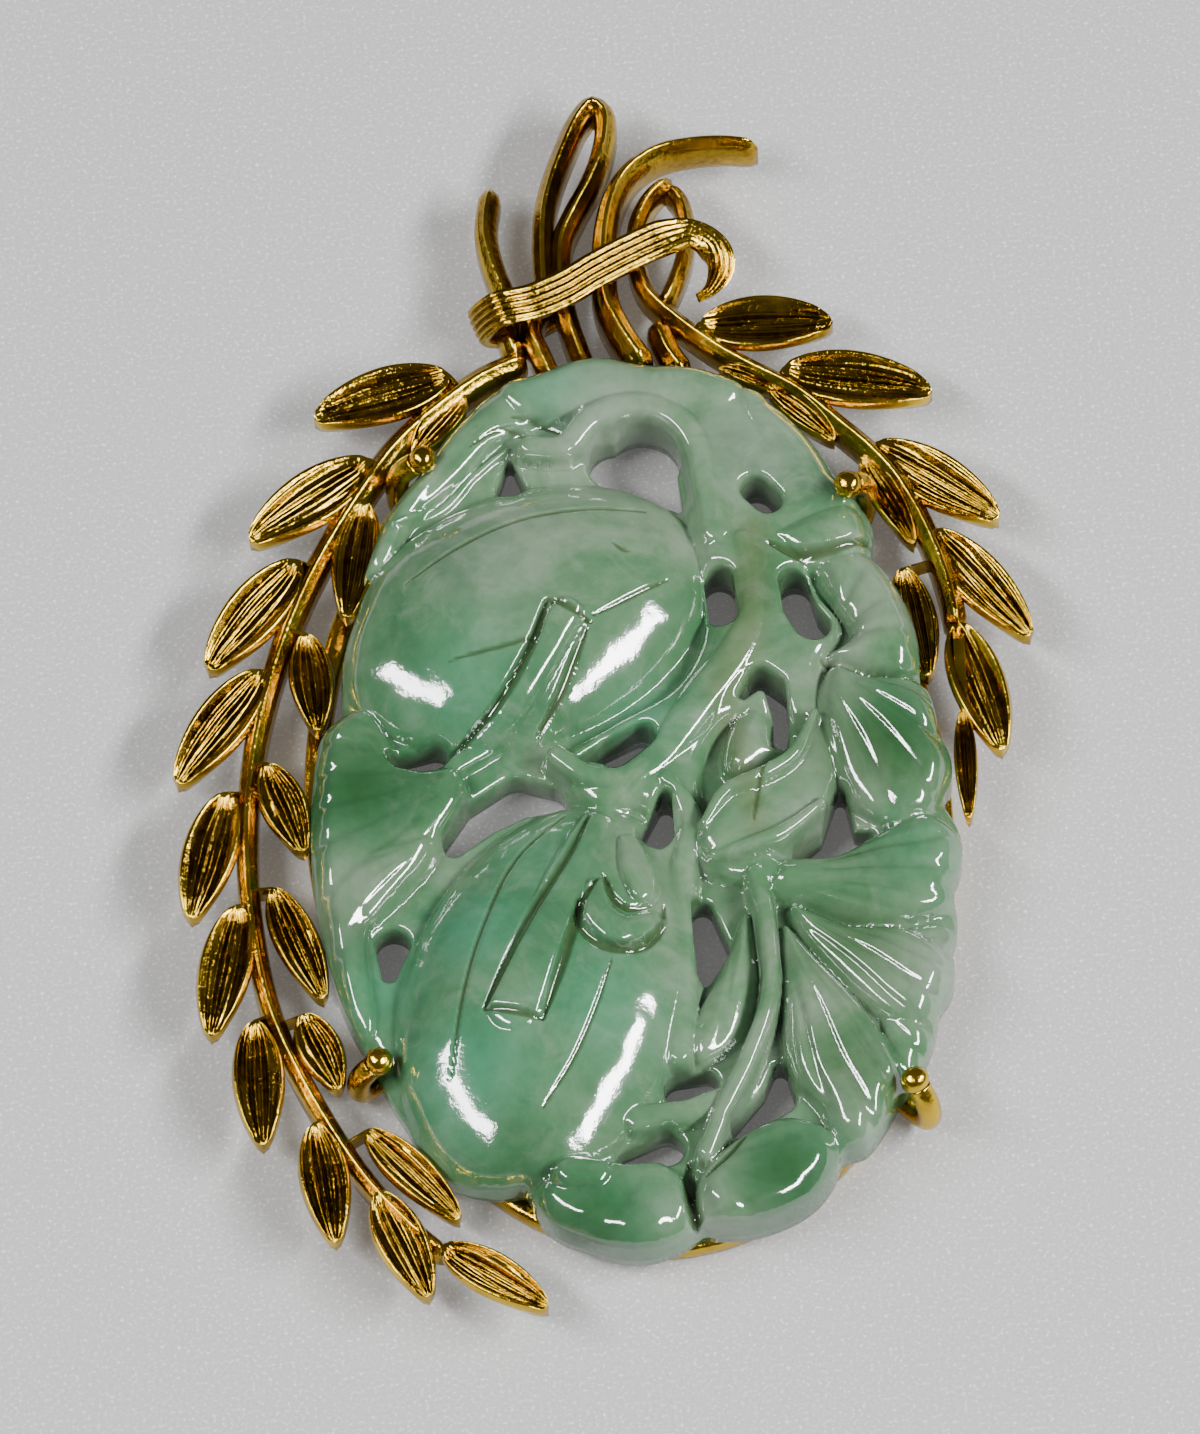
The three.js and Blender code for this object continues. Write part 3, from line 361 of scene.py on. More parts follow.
CUTS = [
    (0.11, 0.15, [(-9.8, 14), (-7, 15.5), (-4, 16.6), (-1, 17), (2, 17)]),
    (0.11, 0.15, [(-8.2, 9.3), (-5, 9.7), (-3.6, 10)]),
    (0.11, 0.15, [(-1.2, 10.8), (0, 11.4), (2.6, 12.9)]),
    (0.12, 0.14, [(0.2, 14.8), (0.6, 14.4), (1, 14.25)]),
    (0.3, 0.4, [(-3.3, 11.6), (-4.1, 9.7), (-5.6, 7.6), (-7.3, 6.1), (-9.5, 4.9)]),
    (0.22, 0.3, [(-1.5, 10.3), (-3.1, 7.4), (-4.4, 5.8)]),
    (0.22, 0.3, [(-3.2, 11.7), (-1.3, 10.5)]),
    (0.11, 0.15, [(-3.6, 1.2), (-6, -1.2), (-8, -5), (-9.3, -8.5), (-10.3, -12.5)]),
    (0.11, 0.15, [(-2.2, -7.6), (-3.2, -10), (-4.5, -12.4), (-6.2, -14.6)]),
    (0.28, 0.32, [(-2.5, 0.8), (-3.6, -1.6), (-6, -5.4), (-8.3, -9.4)]),
    (0.28, 0.32, [(-2.4, -3.2), (-3.3, -4.6), (-4.5, -7.6), (-5.7, -10.4)]),
    (0.25, 0.28, [(-8.4, -9.5), (-5.7, -10.5)]),
    (0.25, 0.28, [(-2.1, -2.9), (-1.9, -4.2), (-1.2, -4.9), (-0.2, -4.7)]),
    (0.22, 0.3, [(-3.5, -4.4), (-3.5, -6), (-2.5, -7), (-0.9, -7), (0.2, -5.9), (0.5, -4.6)]),
    (0.1, 0.15, [(5.2, -0.6), (5.6, 1), (6.2, 2.6)]),
    (0.3, 0.3, [(9.4, 8.1), (11.2, 7.2), (14, 6.8)]),
    (0.3, 0.35, [(7.6, 14.6), (8.8, 13.9), (10, 13.8), (12.6, 14.5)]),
    (0.5, 0.4, [(0.3, -17.3), (0.1, -19.4), (0.5, -21.5)]),
    (0.2, 0.2, [(1, -18.6), (1.9, -17.9), (3, -16.7)]),
    (0.12, 0.15, [(-6, 21.9), (-4.6, 22.7), (-3, 22.5), (-1.6, 21.9)]),
    (0.12, 0.15, [(-3.9, 23.3), (-2.4, 23), (-1.3, 22.4)]),
    (-0.25, 0.3, [(-10.1, 18), (-7.6, 19), (-6, 20.6), (-4.2, 21.9)]),
]
print(len(FORMS), "forms,", len(LEAVES), "leaves,", len(ON_MELONS), "on the melons,", len(CUTS), "cuts")

# %% [markdown]
# ## Height of the face
#
# Each kind of form has one function from whole arrays of places to heights. The edge
# of the stone is rolled off and the whole face gets slow waves, because a face that
# was cut and polished by hand is never quite even, and the waves bend its highlights.

# %% Raised forms
FORM_EDGE = 3.0
ROUTE_STEP = 0.5


def raised(route, x, y):
    """Height of one form: its route's height times a rounded profile with steep sides."""
    route = smooth_route(route, ROUTE_STEP)
    height = np.zeros(x.shape)
    reach = route[:, 2].max()
    near = ((x > route[:, 0].min() - reach) & (x < route[:, 0].max() + reach)
            & (y > route[:, 1].min() - reach) & (y < route[:, 1].max() + reach))
    px, py = x[near], y[near]
    best = np.zeros(px.shape)
    for a, b in zip(route[:-1], route[1:]):
        dx, dy = b[0] - a[0], b[1] - a[1]
        t = np.clip(((px - a[0]) * dx + (py - a[1]) * dy) / (dx * dx + dy * dy), 0, 1)
        half = a[2] + t * (b[2] - a[2])
        share = np.hypot(px - a[0] - t * dx, py - a[1] - t * dy) / half
        profile = np.sqrt(np.clip(1 - share**FORM_EDGE, 0, 1))
        best = np.maximum(best, (a[3] + t * (b[3] - a[3])) * profile)
    height[near] = best
    return height


on_vine = raised(FORMS["vine"], np.array([6.6]), np.array([12.3]))
print("the vine's height at one place, mm:", on_vine.round(2))

# %% Carved leaves
LEAF_STEP = 0.4
LEAF_EDGE = 1.5
LEAF_FALL = 0.3
RAY_MARGIN = 0.9
RAY_WAVER = 0.35
RAY_NARROWNESS = 3
RAY_START = 0.4


def leaf_height(form, x, y):
    """Height of a leaf: full a little way in from its outline, less by its distance from the hub.

    The rays are a cosine of the angle about the hub, to a power, so that they are narrow.
    """
    border = smooth_route(form["outline"], LEAF_STEP, closed=True)
    hub = np.array(form["hub"])
    low, high = border.min(0), border.max(0)
    near = (x > low[0]) & (x < high[0]) & (y > low[1]) & (y < high[1])
    px, py = x[near], y[near]
    inset = np.maximum(distance_inside(border, px, py), 0)
    edge = np.sqrt(1 - (1 - np.minimum(inset / LEAF_EDGE, 1)) ** 2)
    away = np.hypot(px - hub[0], py - hub[1])
    reach = np.hypot(*(border - hub).T).max()
    middle = border.mean(0) - hub
    angle = np.arctan2(py - hub[1], px - hub[0]) - math.atan2(middle[1], middle[0])
    angle = (angle + math.pi) % (2 * math.pi) - math.pi
    ray = (0.5 + 0.5 * np.cos(angle * form["veins"] + RAY_WAVER * np.sin(away))) ** RAY_NARROWNESS
    kept = smoothstep(inset / RAY_MARGIN) * smoothstep(3 * away / reach - RAY_START)
    height = np.zeros(x.shape)
    height[near] = (form["rise"] * (1 - LEAF_FALL * away / reach) - form["cut"] * ray * kept) * edge
    return height


print("leaves rise", min(form["rise"] for form in LEAVES.values()), "mm and more at their hubs")

# %% Melons and waves
MELON_ROUND = 0.75
WAVE_SEED = 3
WAVE_LENGTHS = (1.3, 5.5)
WAVE_COUNT = 12
WAVE_SLOPE = 0.0018


def unevenness(x, y):
    """Slow hand-carved waves: sines of many headings and lengths added up."""
    rng = np.random.default_rng(WAVE_SEED)
    total = np.zeros(x.shape)
    for length in np.geomspace(*WAVE_LENGTHS, WAVE_COUNT):
        heading, phase = rng.uniform(0, 2 * math.pi, 2)
        across = x * math.cos(heading) + y * math.sin(heading)
        total += length * np.sin(across * 2 * math.pi / length + phase)
    return WAVE_SLOPE * total


def melon_height(melon, x, y):
    """A flattened dome over an ellipse."""
    angle = math.radians(melon["turn"])
    dx, dy = x - melon["at"][0], y - melon["at"][1]
    u = (dx * math.cos(angle) + dy * math.sin(angle)) / melon["half"][0]
    v = (dy * math.cos(angle) - dx * math.sin(angle)) / melon["half"][1]
    return melon["rise"] * np.clip(1 - u * u - v * v, 0, 1) ** MELON_ROUND


print("a wave's height at the plaque's origin, mm:", unevenness(np.zeros(1), np.zeros(1)).round(4))

# %% Cuts
CUT_TAPER = 0.4
CUT_NARROWEST = 0.35


def cut_profile(half, points, x, y):
    """1 on a line and 0 from its half width outwards, with a rounded bottom."""
    route = smooth_route([(px, py, half) for px, py in points], ROUTE_STEP)
    tapered = np.sin(np.linspace(0, math.pi, len(route))) ** CUT_TAPER
    route[:, 2] = half * np.clip(tapered, CUT_NARROWEST, 1)
    near = ((x > route[:, 0].min() - half) & (x < route[:, 0].max() + half)
            & (y > route[:, 1].min() - half) & (y < route[:, 1].max() + half))
    profile = np.zeros(x.shape)
    share = from_route(route, x[near], y[near])[1]
    profile[near] = np.clip(1 - share**2, 0, 1)
    return profile


print("the deepest line goes", max(depth for depth, _, _ in CUTS), "mm into the face")

# %% The whole face
ROLL_WIDTH = 1.1
ROLL_DROP = 0.7
WINDOW_ROLL = 0.3
WINDOW_DROP = 0.25
LOWEST = -0.3
SUNK = 0.001


def face_height(x, y, inset, window_gap):
    """Height of the face above the ground, and how deep in a cut each place is."""
    fruit = np.maximum.reduce([melon_height(melon, x, y) for melon in MELONS])
    vines = np.maximum.reduce([raised(route, x, y) for route in FORMS.values()])
    leaves = np.maximum.reduce([leaf_height(form, x, y) for form in LEAVES.values()])
    height = np.maximum.reduce([fruit, vines, leaves])
    for route in ON_MELONS.values():
        height = np.maximum(height, np.where(fruit > 0, fruit, 0) + raised(route, x, y) - SUNK)
    # The cuts' profiles, which darken the stone's colour in them.
    darkening = np.zeros(x.shape)
    for depth, half, points in CUTS:
        profile = cut_profile(half, points, x, y)
        height = height - depth * profile
        if depth > 0:
            darkening = np.maximum(darkening, profile)
    height = np.maximum(height, LOWEST)
    rolled = ROLL_DROP * np.clip(1 - inset / ROLL_WIDTH, 0, 1) ** 2
    eased = WINDOW_DROP * np.clip(1 - window_gap / WINDOW_ROLL, 0, 1) ** 2
    return height - rolled - eased + unevenness(x, y), darkening


melon_x, melon_y = np.array([melon["at"] for melon in MELONS]).T
middle_height = face_height(melon_x, melon_y, ROLL_WIDTH, WINDOW_ROLL)[0]
print("the melons' middles, mm above the ground:", middle_height.round(2))

# %% [markdown]
# ## The plaque's mesh
#
# A square grid covers the plaque. Where a grid line crosses the outline or a window's
# edge, the nearer end of that line is moved onto it, so the mesh ends exactly there.
# Each square is split along its more level diagonal, which keeps slanting grooves
# smooth. Walls go down from the open edges to the flat back and close the mesh.

# %% The grid
GRID = 0.112
LEAST_SLOPE = 0.25
SNAP_REACH = 0.6


def plaque_distance(x, y):
    """Distance inside the outline and outside the windows, whichever is less, and both by themselves."""
    inset = distance_inside(outline, x, y)
    window_gap = np.full(x.shape, np.inf)
    for route in WINDOWS:
        window_gap = np.minimum(window_gap, from_route(route, x, y)[0])
    return np.minimum(inset, window_gap), inset, window_gap


def snapped_grid():
    """A square grid of places, the ones nearest to an edge moved down the distance's slope onto it.

    Gives the places, their distance, and their state: 1 inside, 0 on an edge, -1 outside.
    """
    low, high = outline.min(0) - GRID, outline.max(0) + GRID
    xs = np.arange(low[0], high[0] + GRID, GRID)
    ys = np.arange(low[1], high[1] + GRID, GRID)
    x, y = np.meshgrid(xs, ys)
    distance = plaque_distance(x, y)[0]
    slope_y, slope_x = np.gradient(distance, GRID)
    state = np.sign(distance)
    snap = np.zeros(x.shape, bool)
    for axis in (0, 1):
        first = [slice(None)] * 2
        second = [slice(None)] * 2
        first[axis] = slice(None, -1)
        second[axis] = slice(1, None)
        first, second = tuple(first), tuple(second)
        crossing = state[first] * state[second] < 0
        nearer = np.abs(distance[first]) <= np.abs(distance[second])
        snap[first] |= crossing & nearer
        snap[second] |= crossing & ~nearer
    steep = np.maximum(slope_x**2 + slope_y**2, LEAST_SLOPE)
    move = np.where(snap, distance / steep, 0)
    move = np.clip(move, -SNAP_REACH * GRID, SNAP_REACH * GRID)
    state[snap] = 0
    return x - move * slope_x, y - move * slope_y, distance, state


def grid_triangles(height, distance, state):
    """Two triangles for each square inside, split along its more level diagonal or along an edge."""
    index = np.arange(state.size).reshape(state.shape)
    corners = [index[:-1, :-1], index[:-1, 1:], index[1:, 1:], index[1:, :-1]]
    outside = [state.ravel()[corner] < 0 for corner in corners]
    levels = [height[corner] for corner in corners]
    level = np.abs(levels[0] - levels[2]) <= np.abs(levels[1] - levels[3])
    main = np.where(np.any(outside, axis=0), outside[1] | outside[3], level).ravel()
    a, b, c, d = (corner.ravel() for corner in corners)
    triangles = np.vstack([
        np.stack([a, b, c], 1)[main], np.stack([a, c, d], 1)[main],
        np.stack([a, b, d], 1)[~main], np.stack([b, c, d], 1)[~main],
    ])
    states = state.ravel()[triangles]
    middle = distance.ravel()[triangles].mean(1)
    return triangles[(states >= 0).all(1) & ((states > 0).any(1) | (middle > 0))]


# %% The face's mesh
def edge_loops(triangles, count):
    """Loops of points along the open edges: an edge is open if no triangle has it the other way round."""
    edges = np.vstack([triangles[:, [0, 1]], triangles[:, [1, 2]], triangles[:, [2, 0]]])
    coded = edges[:, 0] * count + edges[:, 1]
    reverse = edges[:, 1] * count + edges[:, 0]
    following = dict(edges[~np.isin(coded, reverse)].tolist())
    loops = []
    while following:
        start, here = next(iter(following.items()))
        loop = [start]
        del following[start]
        while here != start and here in following:
            loop.append(here)
            here = following.pop(here)
        loops.append(loop)
    return loops


def plaque_mesh():
    """Points, triangles and the depth in cuts of the plaque's face, and the loops of its edges."""
    x, y, distance, state = snapped_grid()
    x, y = x.ravel(), y.ravel()
    _, inset, window_gap = plaque_distance(x, y)
    height, darkening = face_height(x, y, np.maximum(inset, 0), np.maximum(window_gap, 0))
    triangles = grid_triangles(height, distance, state)
    used, triangles = np.unique(triangles, return_inverse=True)
    triangles = triangles.reshape(-1, 3)
    points = np.stack([x[used], y[used], GROUND + height[used]], 1)
    return points, triangles, darkening[used], edge_loops(triangles, len(points))


# %% Walls and back
WALL_ROWS = 4
# Painted shade on the windows' walls: full at the back, a share of it at their top edge.
WALL_PAINTED_SHADE = 0.6
WALL_TOP = 0.4


def close_plaque(points, triangles, darkening, loops):
    """Walls of a few rows from each open edge down to the back, and the back as one flat face with holes."""
    all_points, all_faces, all_darkening_and_wall_shade = [points], [triangles], [darkening]
    count = len(points)
    backs, back_ids = [], []
    outer = max(loops, key=len)
    for loop in loops:
        # Only the windows' walls get painted shade, deeper towards the back; the outer wall gets none.
        depth = 0 if loop is outer else WALL_PAINTED_SHADE
        ring = points[loop]
        size = len(loop)
        rows = [np.array(loop)]
        for row in range(1, WALL_ROWS + 1):
            share = row / WALL_ROWS
            lower = ring.copy()
            lower[:, 2] = ring[:, 2] + share * (BACK - ring[:, 2])
            all_points.append(lower)
            all_darkening_and_wall_shade.append(np.full(size, depth * (WALL_TOP + (1 - WALL_TOP) * share)))
            rows.append(count + np.arange(size))
            count += size
        for upper, lower in zip(rows[:-1], rows[1:]):
            after_upper, after_lower = np.roll(upper, -1), np.roll(lower, -1)
            all_faces.append(np.stack([upper, lower, after_lower], 1))
            all_faces.append(np.stack([upper, after_lower, after_upper], 1))
        backs.append([Vector((px, py, 0)) for px, py, _ in ring])
        back_ids.extend(rows[-1].tolist())
    back_ids = np.array(back_ids)
    back = back_ids[np.array(tessellate_polygon(backs))]
    all_points = np.vstack(all_points)
    p, q, r = (all_points[back[:, k]] for k in range(3))
    upward = np.cross(q - p, r - p)[:, 2] > 0
    back[upward] = back[upward][:, ::-1]
    all_faces.append(back)
    return all_points, np.vstack(all_faces), np.concatenate(all_darkening_and_wall_shade)


plaque_points, plaque_faces, plaque_darkening_and_wall_shade = close_plaque(*plaque_mesh())
print("plaque:", len(plaque_points), "points,", len(plaque_faces), "triangles")

# %% [markdown]
# ## Materials
#
# A material is a small graph of nodes. It could be drawn in the node editor, but written
# down it can be read and changed. Five helpers make it short: a new material, constants
# on a node, a new node, a ramp of colours and a mix of two colours.

# %% Node helpers


def new_material(name):
    """A new node material, its tree of nodes and its Principled BSDF."""
    material = bpy.data.materials.new(name)
    material.use_nodes = True
    tree = material.node_tree
    shader = tree.nodes["Principled BSDF"]
    return material, tree, shader


def set_inputs(node, values):
    """Constants on a node's sockets, by their names."""
    for key, value in values.items():
        node.inputs[key].default_value = value


def add(tree, kind, values=None, **settings):
    """A node of a kind, with its settings and with constants on its sockets."""
    node = tree.nodes.new(kind)
    for key, value in settings.items():
        setattr(node, key, value)
    set_inputs(node, values or {})
    return node


def ramp(tree, factor, stops):
    """A colour ramp with stops of (place, colour), fed by a factor socket."""
    node = tree.nodes.new("ShaderNodeValToRGB")
    elements = node.color_ramp.elements
    while len(elements) < len(stops):
        elements.new(0.5)
    for element, (place, colour) in zip(elements, stops):
        element.position = place
        element.color = (*colour, 1)
    tree.links.new(factor, node.inputs["Fac"])
    return node.outputs["Color"]


def mix(tree, factor, first, second, blend="MIX"):
    """Two colour sockets or colours mixed by a factor socket or number."""
    node = tree.nodes.new("ShaderNodeMix")
    node.data_type = "RGBA"
    node.blend_type = blend
    for socket, value in ((node.inputs[0], factor), (node.inputs[6], first), (node.inputs[7], second)):
        if isinstance(value, bpy.types.NodeSocket):
            tree.links.new(value, socket)
        elif isinstance(value, tuple):
            socket.default_value = (*value, 1)
        else:
            socket.default_value = value
    return node.outputs[2]


# %% [markdown]
# ## Fine grain
#
# Stone, gold and table all have a fine grain, each with its own size and depth. A picture
# could be laid over them, but a noise has no seams and stays sharp from any distance.
# It is one group, built once, and gives out a value and a bumped normal.

# %% Grain


def grain_group():
    """A group from a scale and a depth to a noise value and the normal that it bumps."""
    group = bpy.data.node_groups.new("grain", "ShaderNodeTree")
    for name in ("Scale", "Depth"):
        group.interface.new_socket(name=name, in_out="INPUT", socket_type="NodeSocketFloat")
    for name, kind in (("Value", "NodeSocketFloat"), ("Normal", "NodeSocketVector")):
        group.interface.new_socket(name=name, in_out="OUTPUT", socket_type=kind)
    given = group.nodes.new("NodeGroupInput")
    result = group.nodes.new("NodeGroupOutput")
    place = add(group, "ShaderNodeTexCoord").outputs["Object"]
    noise = add(group, "ShaderNodeTexNoise", {"Detail": 4, "Roughness": 0.6})
    bump = add(group, "ShaderNodeBump", {"Strength": 1})
    group.links.new(place, noise.inputs["Vector"])
    group.links.new(given.outputs["Scale"], noise.inputs["Scale"])
    group.links.new(given.outputs["Depth"], bump.inputs["Distance"])
    group.links.new(noise.outputs["Fac"], bump.inputs["Height"])
    group.links.new(noise.outputs["Fac"], result.inputs["Value"])
    group.links.new(bump.outputs["Normal"], result.inputs["Normal"])
    return group


GRAIN = grain_group()
print("group", GRAIN.name, "has", len(GRAIN.nodes), "nodes")


def add_grain(tree, shader, scale, depth):
    """The grain group in a material, its normal linked to the shader; gives its value socket."""
    node = add(tree, "ShaderNodeGroup", {"Scale": scale, "Depth": depth}, node_tree=GRAIN)
    tree.links.new(node.outputs["Normal"], shader.inputs["Normal"])
    return node.outputs["Value"]


# %% [markdown]
# ## The stone
#
# Jade is a mass of fine interlocked crystals. It is glossy, and a little light goes in
# and comes out again nearby, which the subsurface part imitates. Its green is clouded,
# so a wide noise chooses the green and a finer one adds pale wisps. A painted picture
# would fit one shape only. Over the noises lie five attributes: pale mist, emerald
# tint, dark patches that are in part painted shade and in part darker stone, a yellow
# vein, and a darkening of the cuts with painted shade on the windows' walls.

# %% Jade
STONE_GRAIN = (1100, 0.000016)
STONE_FINISH = {
    "Roughness": 0.08, "IOR": 1.66, "Specular IOR Level": 0.85, "Subsurface Weight": 0.35,
    "Subsurface Radius": (0.6, 1.0, 0.6), "Subsurface Scale": 0.0012,
}


def jade_material():
    """Clouded green stone: noises choose among greens, and each attribute mixes in a colour of its own."""
    material, tree, shader = new_material("jade")
    place = add(tree, "ShaderNodeTexCoord").outputs["Object"]
    clouds = add(tree, "ShaderNodeTexNoise",
                 {"Scale": 130, "Detail": 6, "Roughness": 0.6, "Distortion": 0.8})
    wisps = add(tree, "ShaderNodeTexNoise",
                {"Scale": 420, "Detail": 4, "Roughness": 0.65, "Distortion": 1.2})
    for node in (clouds, wisps):
        tree.links.new(place, node.inputs["Vector"])
    greens = ramp(tree, clouds.outputs["Fac"], [
        (0.34, (0.034, 0.105, 0.046)), (0.46, (0.058, 0.142, 0.066)), (0.56, (0.094, 0.175, 0.095)),
        (0.7, (0.152, 0.21, 0.142))])
    pale = ramp(tree, wisps.outputs["Fac"], [(0.5, (0, 0, 0)), (0.72, (0.35, 0.35, 0.35))])
    colour = mix(tree, pale, greens, (0.21, 0.245, 0.19))
    # The last layer darkens the cuts and paints shade on the windows' walls.
    layers = (("mist", (0.27, 0.3, 0.25)), ("tint", (0.04, 0.2, 0.108)), ("shade", (0.01, 0.05, 0.008)),
              ("vein", (0.1, 0.085, 0.025)), ("darkening", (0.024, 0.04, 0.006)))
    for name, shade in layers:
        layer = add(tree, "ShaderNodeAttribute", attribute_name=name)
        colour = mix(tree, layer.outputs["Fac"], colour, shade)
    grain = add_grain(tree, shader, *STONE_GRAIN)
    specks = ramp(tree, grain, [(0.36, (0.78, 0.84, 0.78)), (0.55, (1, 1, 1))])
    colour = mix(tree, 0.6, colour, specks, "MULTIPLY")
    tree.links.new(colour, shader.inputs["Base Color"])
    set_inputs(shader, STONE_FINISH)
    return material


print("the stone's finish:", STONE_FINISH)

# %% Where the stone's colours lie
# How strongly the cuts are darkened and the windows' walls take their painted shade.
DARKENING_STRENGTH = 0.75
EMERALD = [
    (-1.8, 24.3, 1.6, 0.5), (-8, 8.5, 3, 0.5), (0.7, 6.3, 2, 0.5), (12.5, 4.6, 1.8, 0.5),
    (12, -2.6, 2.2, 0.4), (5, -18.6, 2.6, 0.6), (-13.6, 3, 2.6, 0.5), (-12.6, -6, 2.6, 0.6),
    (-9.5, -12.5, 3.6, 0.7), (-3.5, -19.8, 2.6, 0.5), (-5.5, -1.5, 2.4, 0.4), (-8.5, -5, 2.6, 0.7),
    (-3, -10, 3, 0.5),
]
# Darker patches of the stone: in part painted shade, as on the left fan's slope beside its window, and in
# part darker stone.
DARKER_STONE_AND_PAINTED_SHADE = [
    (-13.2, 3.6, 3.4, 0.85), (-13.8, -4, 2, 0.5), (-4.2, -20, 2.8, 0.75), (4.6, -18.8, 3, 0.85),
    (9, -7.4, 3, 0.6), (8, -13.4, 2.6, 0.55), (-10.2, 9.8, 2.4, 0.3), (12, 3.6, 3.4, 0.85),
    (10.6, -2.6, 2.6, 0.5), (11, 10, 2, 0.25), (7, 11.6, 2.4, 0.15), (-7.5, -16, 2, 0.5),
]
MISTS = [(0.6, 23, 3.2, 0.45), (-5.4, 14.4, 3.4, 0.3), (7.4, 20.4, 3, 0.35), (13, -8.6, 2.4, 0.5)]
VEIN = [(7, 15.5, 0.7), (6.4, 12, 0.8), (5.8, 9, 0.8), (4.6, 7, 0.7), (5, 2.6, 0.6), (5.3, -1, 0.5)]
VEIN_STRENGTH = 0.3


def patches(points, rows):
    """Soft round clouds at a few places, each with a size and a strength, the strongest one counting."""
    cloud = np.zeros(len(points))
    for x, y, size, strength in rows:
        away = ((points[:, 0] - x) ** 2 + (points[:, 1] - y) ** 2) / size**2
        cloud = np.maximum(cloud, strength * np.exp(-away))
    return cloud


def vein_of(points):
    """The yellow vein: strongest on its route and gone at twice its half width."""
    share = from_route(smooth_route(VEIN, 1), points[:, 0], points[:, 1])[1]
    return VEIN_STRENGTH * smoothstep(1 - share / 2)


# The darkening layer holds the cuts' darkening and the painted shade on the windows' walls.
colours = {
    "darkening": DARKENING_STRENGTH * plaque_darkening_and_wall_shade, "tint": patches(plaque_points, EMERALD),
    "mist": patches(plaque_points, MISTS), "shade": patches(plaque_points, DARKER_STONE_AND_PAINTED_SHADE),
    "vein": vein_of(plaque_points),
}
make_piece("plaque", plaque_points, plaque_faces, jade_material(), "jade_carving", colours)

# %% [markdown]
# ## Gold
#
# Cast gold is polished where a cloth reaches and stays brown in its grooves. A metal's
# colour is the colour of what it reflects, so that colour itself goes from yellow to
# brown. Dirt could be guessed from the shape's hollows, but each shape knows where its
# grooves are, so it says so with the attribute `groove`. It goes from 0 on a polished
# ridge to 1 in the deepest groove, and the ridges in the hollow of a leaf have a half.

# %% Gold
GOLD_GRAIN = (2600, 0.00005)


def gold_material():
    """Metal whose colour goes from polished yellow to brown by the groove attribute, with a fine grain."""
    material, tree, shader = new_material("gold")
    place = add(tree, "ShaderNodeTexCoord").outputs["Object"]
    blotch = add(tree, "ShaderNodeTexNoise", {"Scale": 350, "Detail": 3, "Roughness": 0.5})
    tree.links.new(place, blotch.inputs["Vector"])
    grain = add_grain(tree, shader, *GOLD_GRAIN)
    polished = ramp(tree, blotch.outputs["Fac"], [(0.35, (0.38, 0.225, 0.01)), (0.65, (0.78, 0.52, 0.045))])
    groove = add(tree, "ShaderNodeAttribute", attribute_name="groove")
    tarnish = ramp(tree, grain, [(0.38, (0.12, 0.065, 0.005)), (0.6, (0.36, 0.21, 0.015))])
    tree.links.new(mix(tree, groove.outputs["Fac"], polished, tarnish), shader.inputs["Base Color"])
    set_inputs(shader, {"Metallic": 1})
    rough = add(tree, "ShaderNodeMapRange",
                {"From Min": 0.35, "From Max": 0.7, "To Min": 0.08, "To Max": 0.2})
    tree.links.new(blotch.outputs["Fac"], rough.inputs["Value"])
    tree.links.new(rough.outputs["Result"], shader.inputs["Roughness"])
    return material


gold = gold_material()
print("gold has", len(gold.node_tree.nodes), "nodes")

# %% [markdown]
# ## Profiles along paths
#
# All the gold has a profile that changes slowly along its length. So a piece is a stack
# of rings of points, with a skin of quads between them and a fan of triangles over each
# end. A curve with a bevel could do the same for a plain wire, but not for a leaf, and
# it gives no say in where the grooves are.

# %% Skins over rings


def skin(rings, grooves):
    """A closed skin over rings (count, around, 3): quads between rings and a fan over each end."""
    count, around, _ = rings.shape
    points = rings.reshape(-1, 3)
    ids = np.arange(count * around).reshape(count, around)
    here, beside = ids[:-1], np.roll(ids, -1, 1)[:-1]
    above, over_beside = ids[1:], np.roll(ids, -1, 1)[1:]
    quads = np.stack([here, beside, over_beside, above], -1).reshape(-1, 4)
    ends = np.array([rings[0].mean(0), rings[-1].mean(0)])
    first, last = ids[0], ids[-1]
    start_id, end_id = len(points), len(points) + 1
    caps = [[start_id, b, a] for a, b in zip(first, np.roll(first, -1))]
    caps += [[end_id, a, b] for a, b in zip(last, np.roll(last, -1))]
    faces = quads.tolist() + caps
    return np.vstack([points, ends]), faces, np.concatenate([grooves.reshape(-1), [0, 0]])


def join(skins):
    """Several skins as one set of points, faces and groove values."""
    points, faces, grooves, start = [], [], [], 0
    for part_points, part_faces, part_groove in skins:
        points.append(part_points)
        faces += [[start + corner for corner in face] for face in part_faces]
        grooves.append(part_groove)
        start += len(part_points)
    return np.vstack(points), faces, np.concatenate(grooves)


def make_gold(name, part, node):
    """A gold piece from the points, faces and groove values of one skin or of several joined."""
    points, faces, groove = part
    return make_piece(name, points, faces, gold, node, {"groove": groove})


def headings(path):
    """Unit directions along a path of points, by central differences."""
    ahead = np.gradient(path, axis=0)
    return ahead / np.linalg.norm(ahead, axis=1, keepdims=True)


print("a skin over 3 rings of 4 points has", len(skin(np.ones((3, 4, 3)), np.ones((3, 4)))[1]), "faces")


# %% [markdown]
# ## Stems
#
# A stem is a flat-bottomed wire with a narrow bright ridge on top, soldered flat to the
# rim. Its path is flat too, and its width and depth change from start to end. The ridge
# and the hollows beside it are in the section, so the metal catches the light as a thin
# line. The stems differ only in route, width, depth and taper, so one function does.

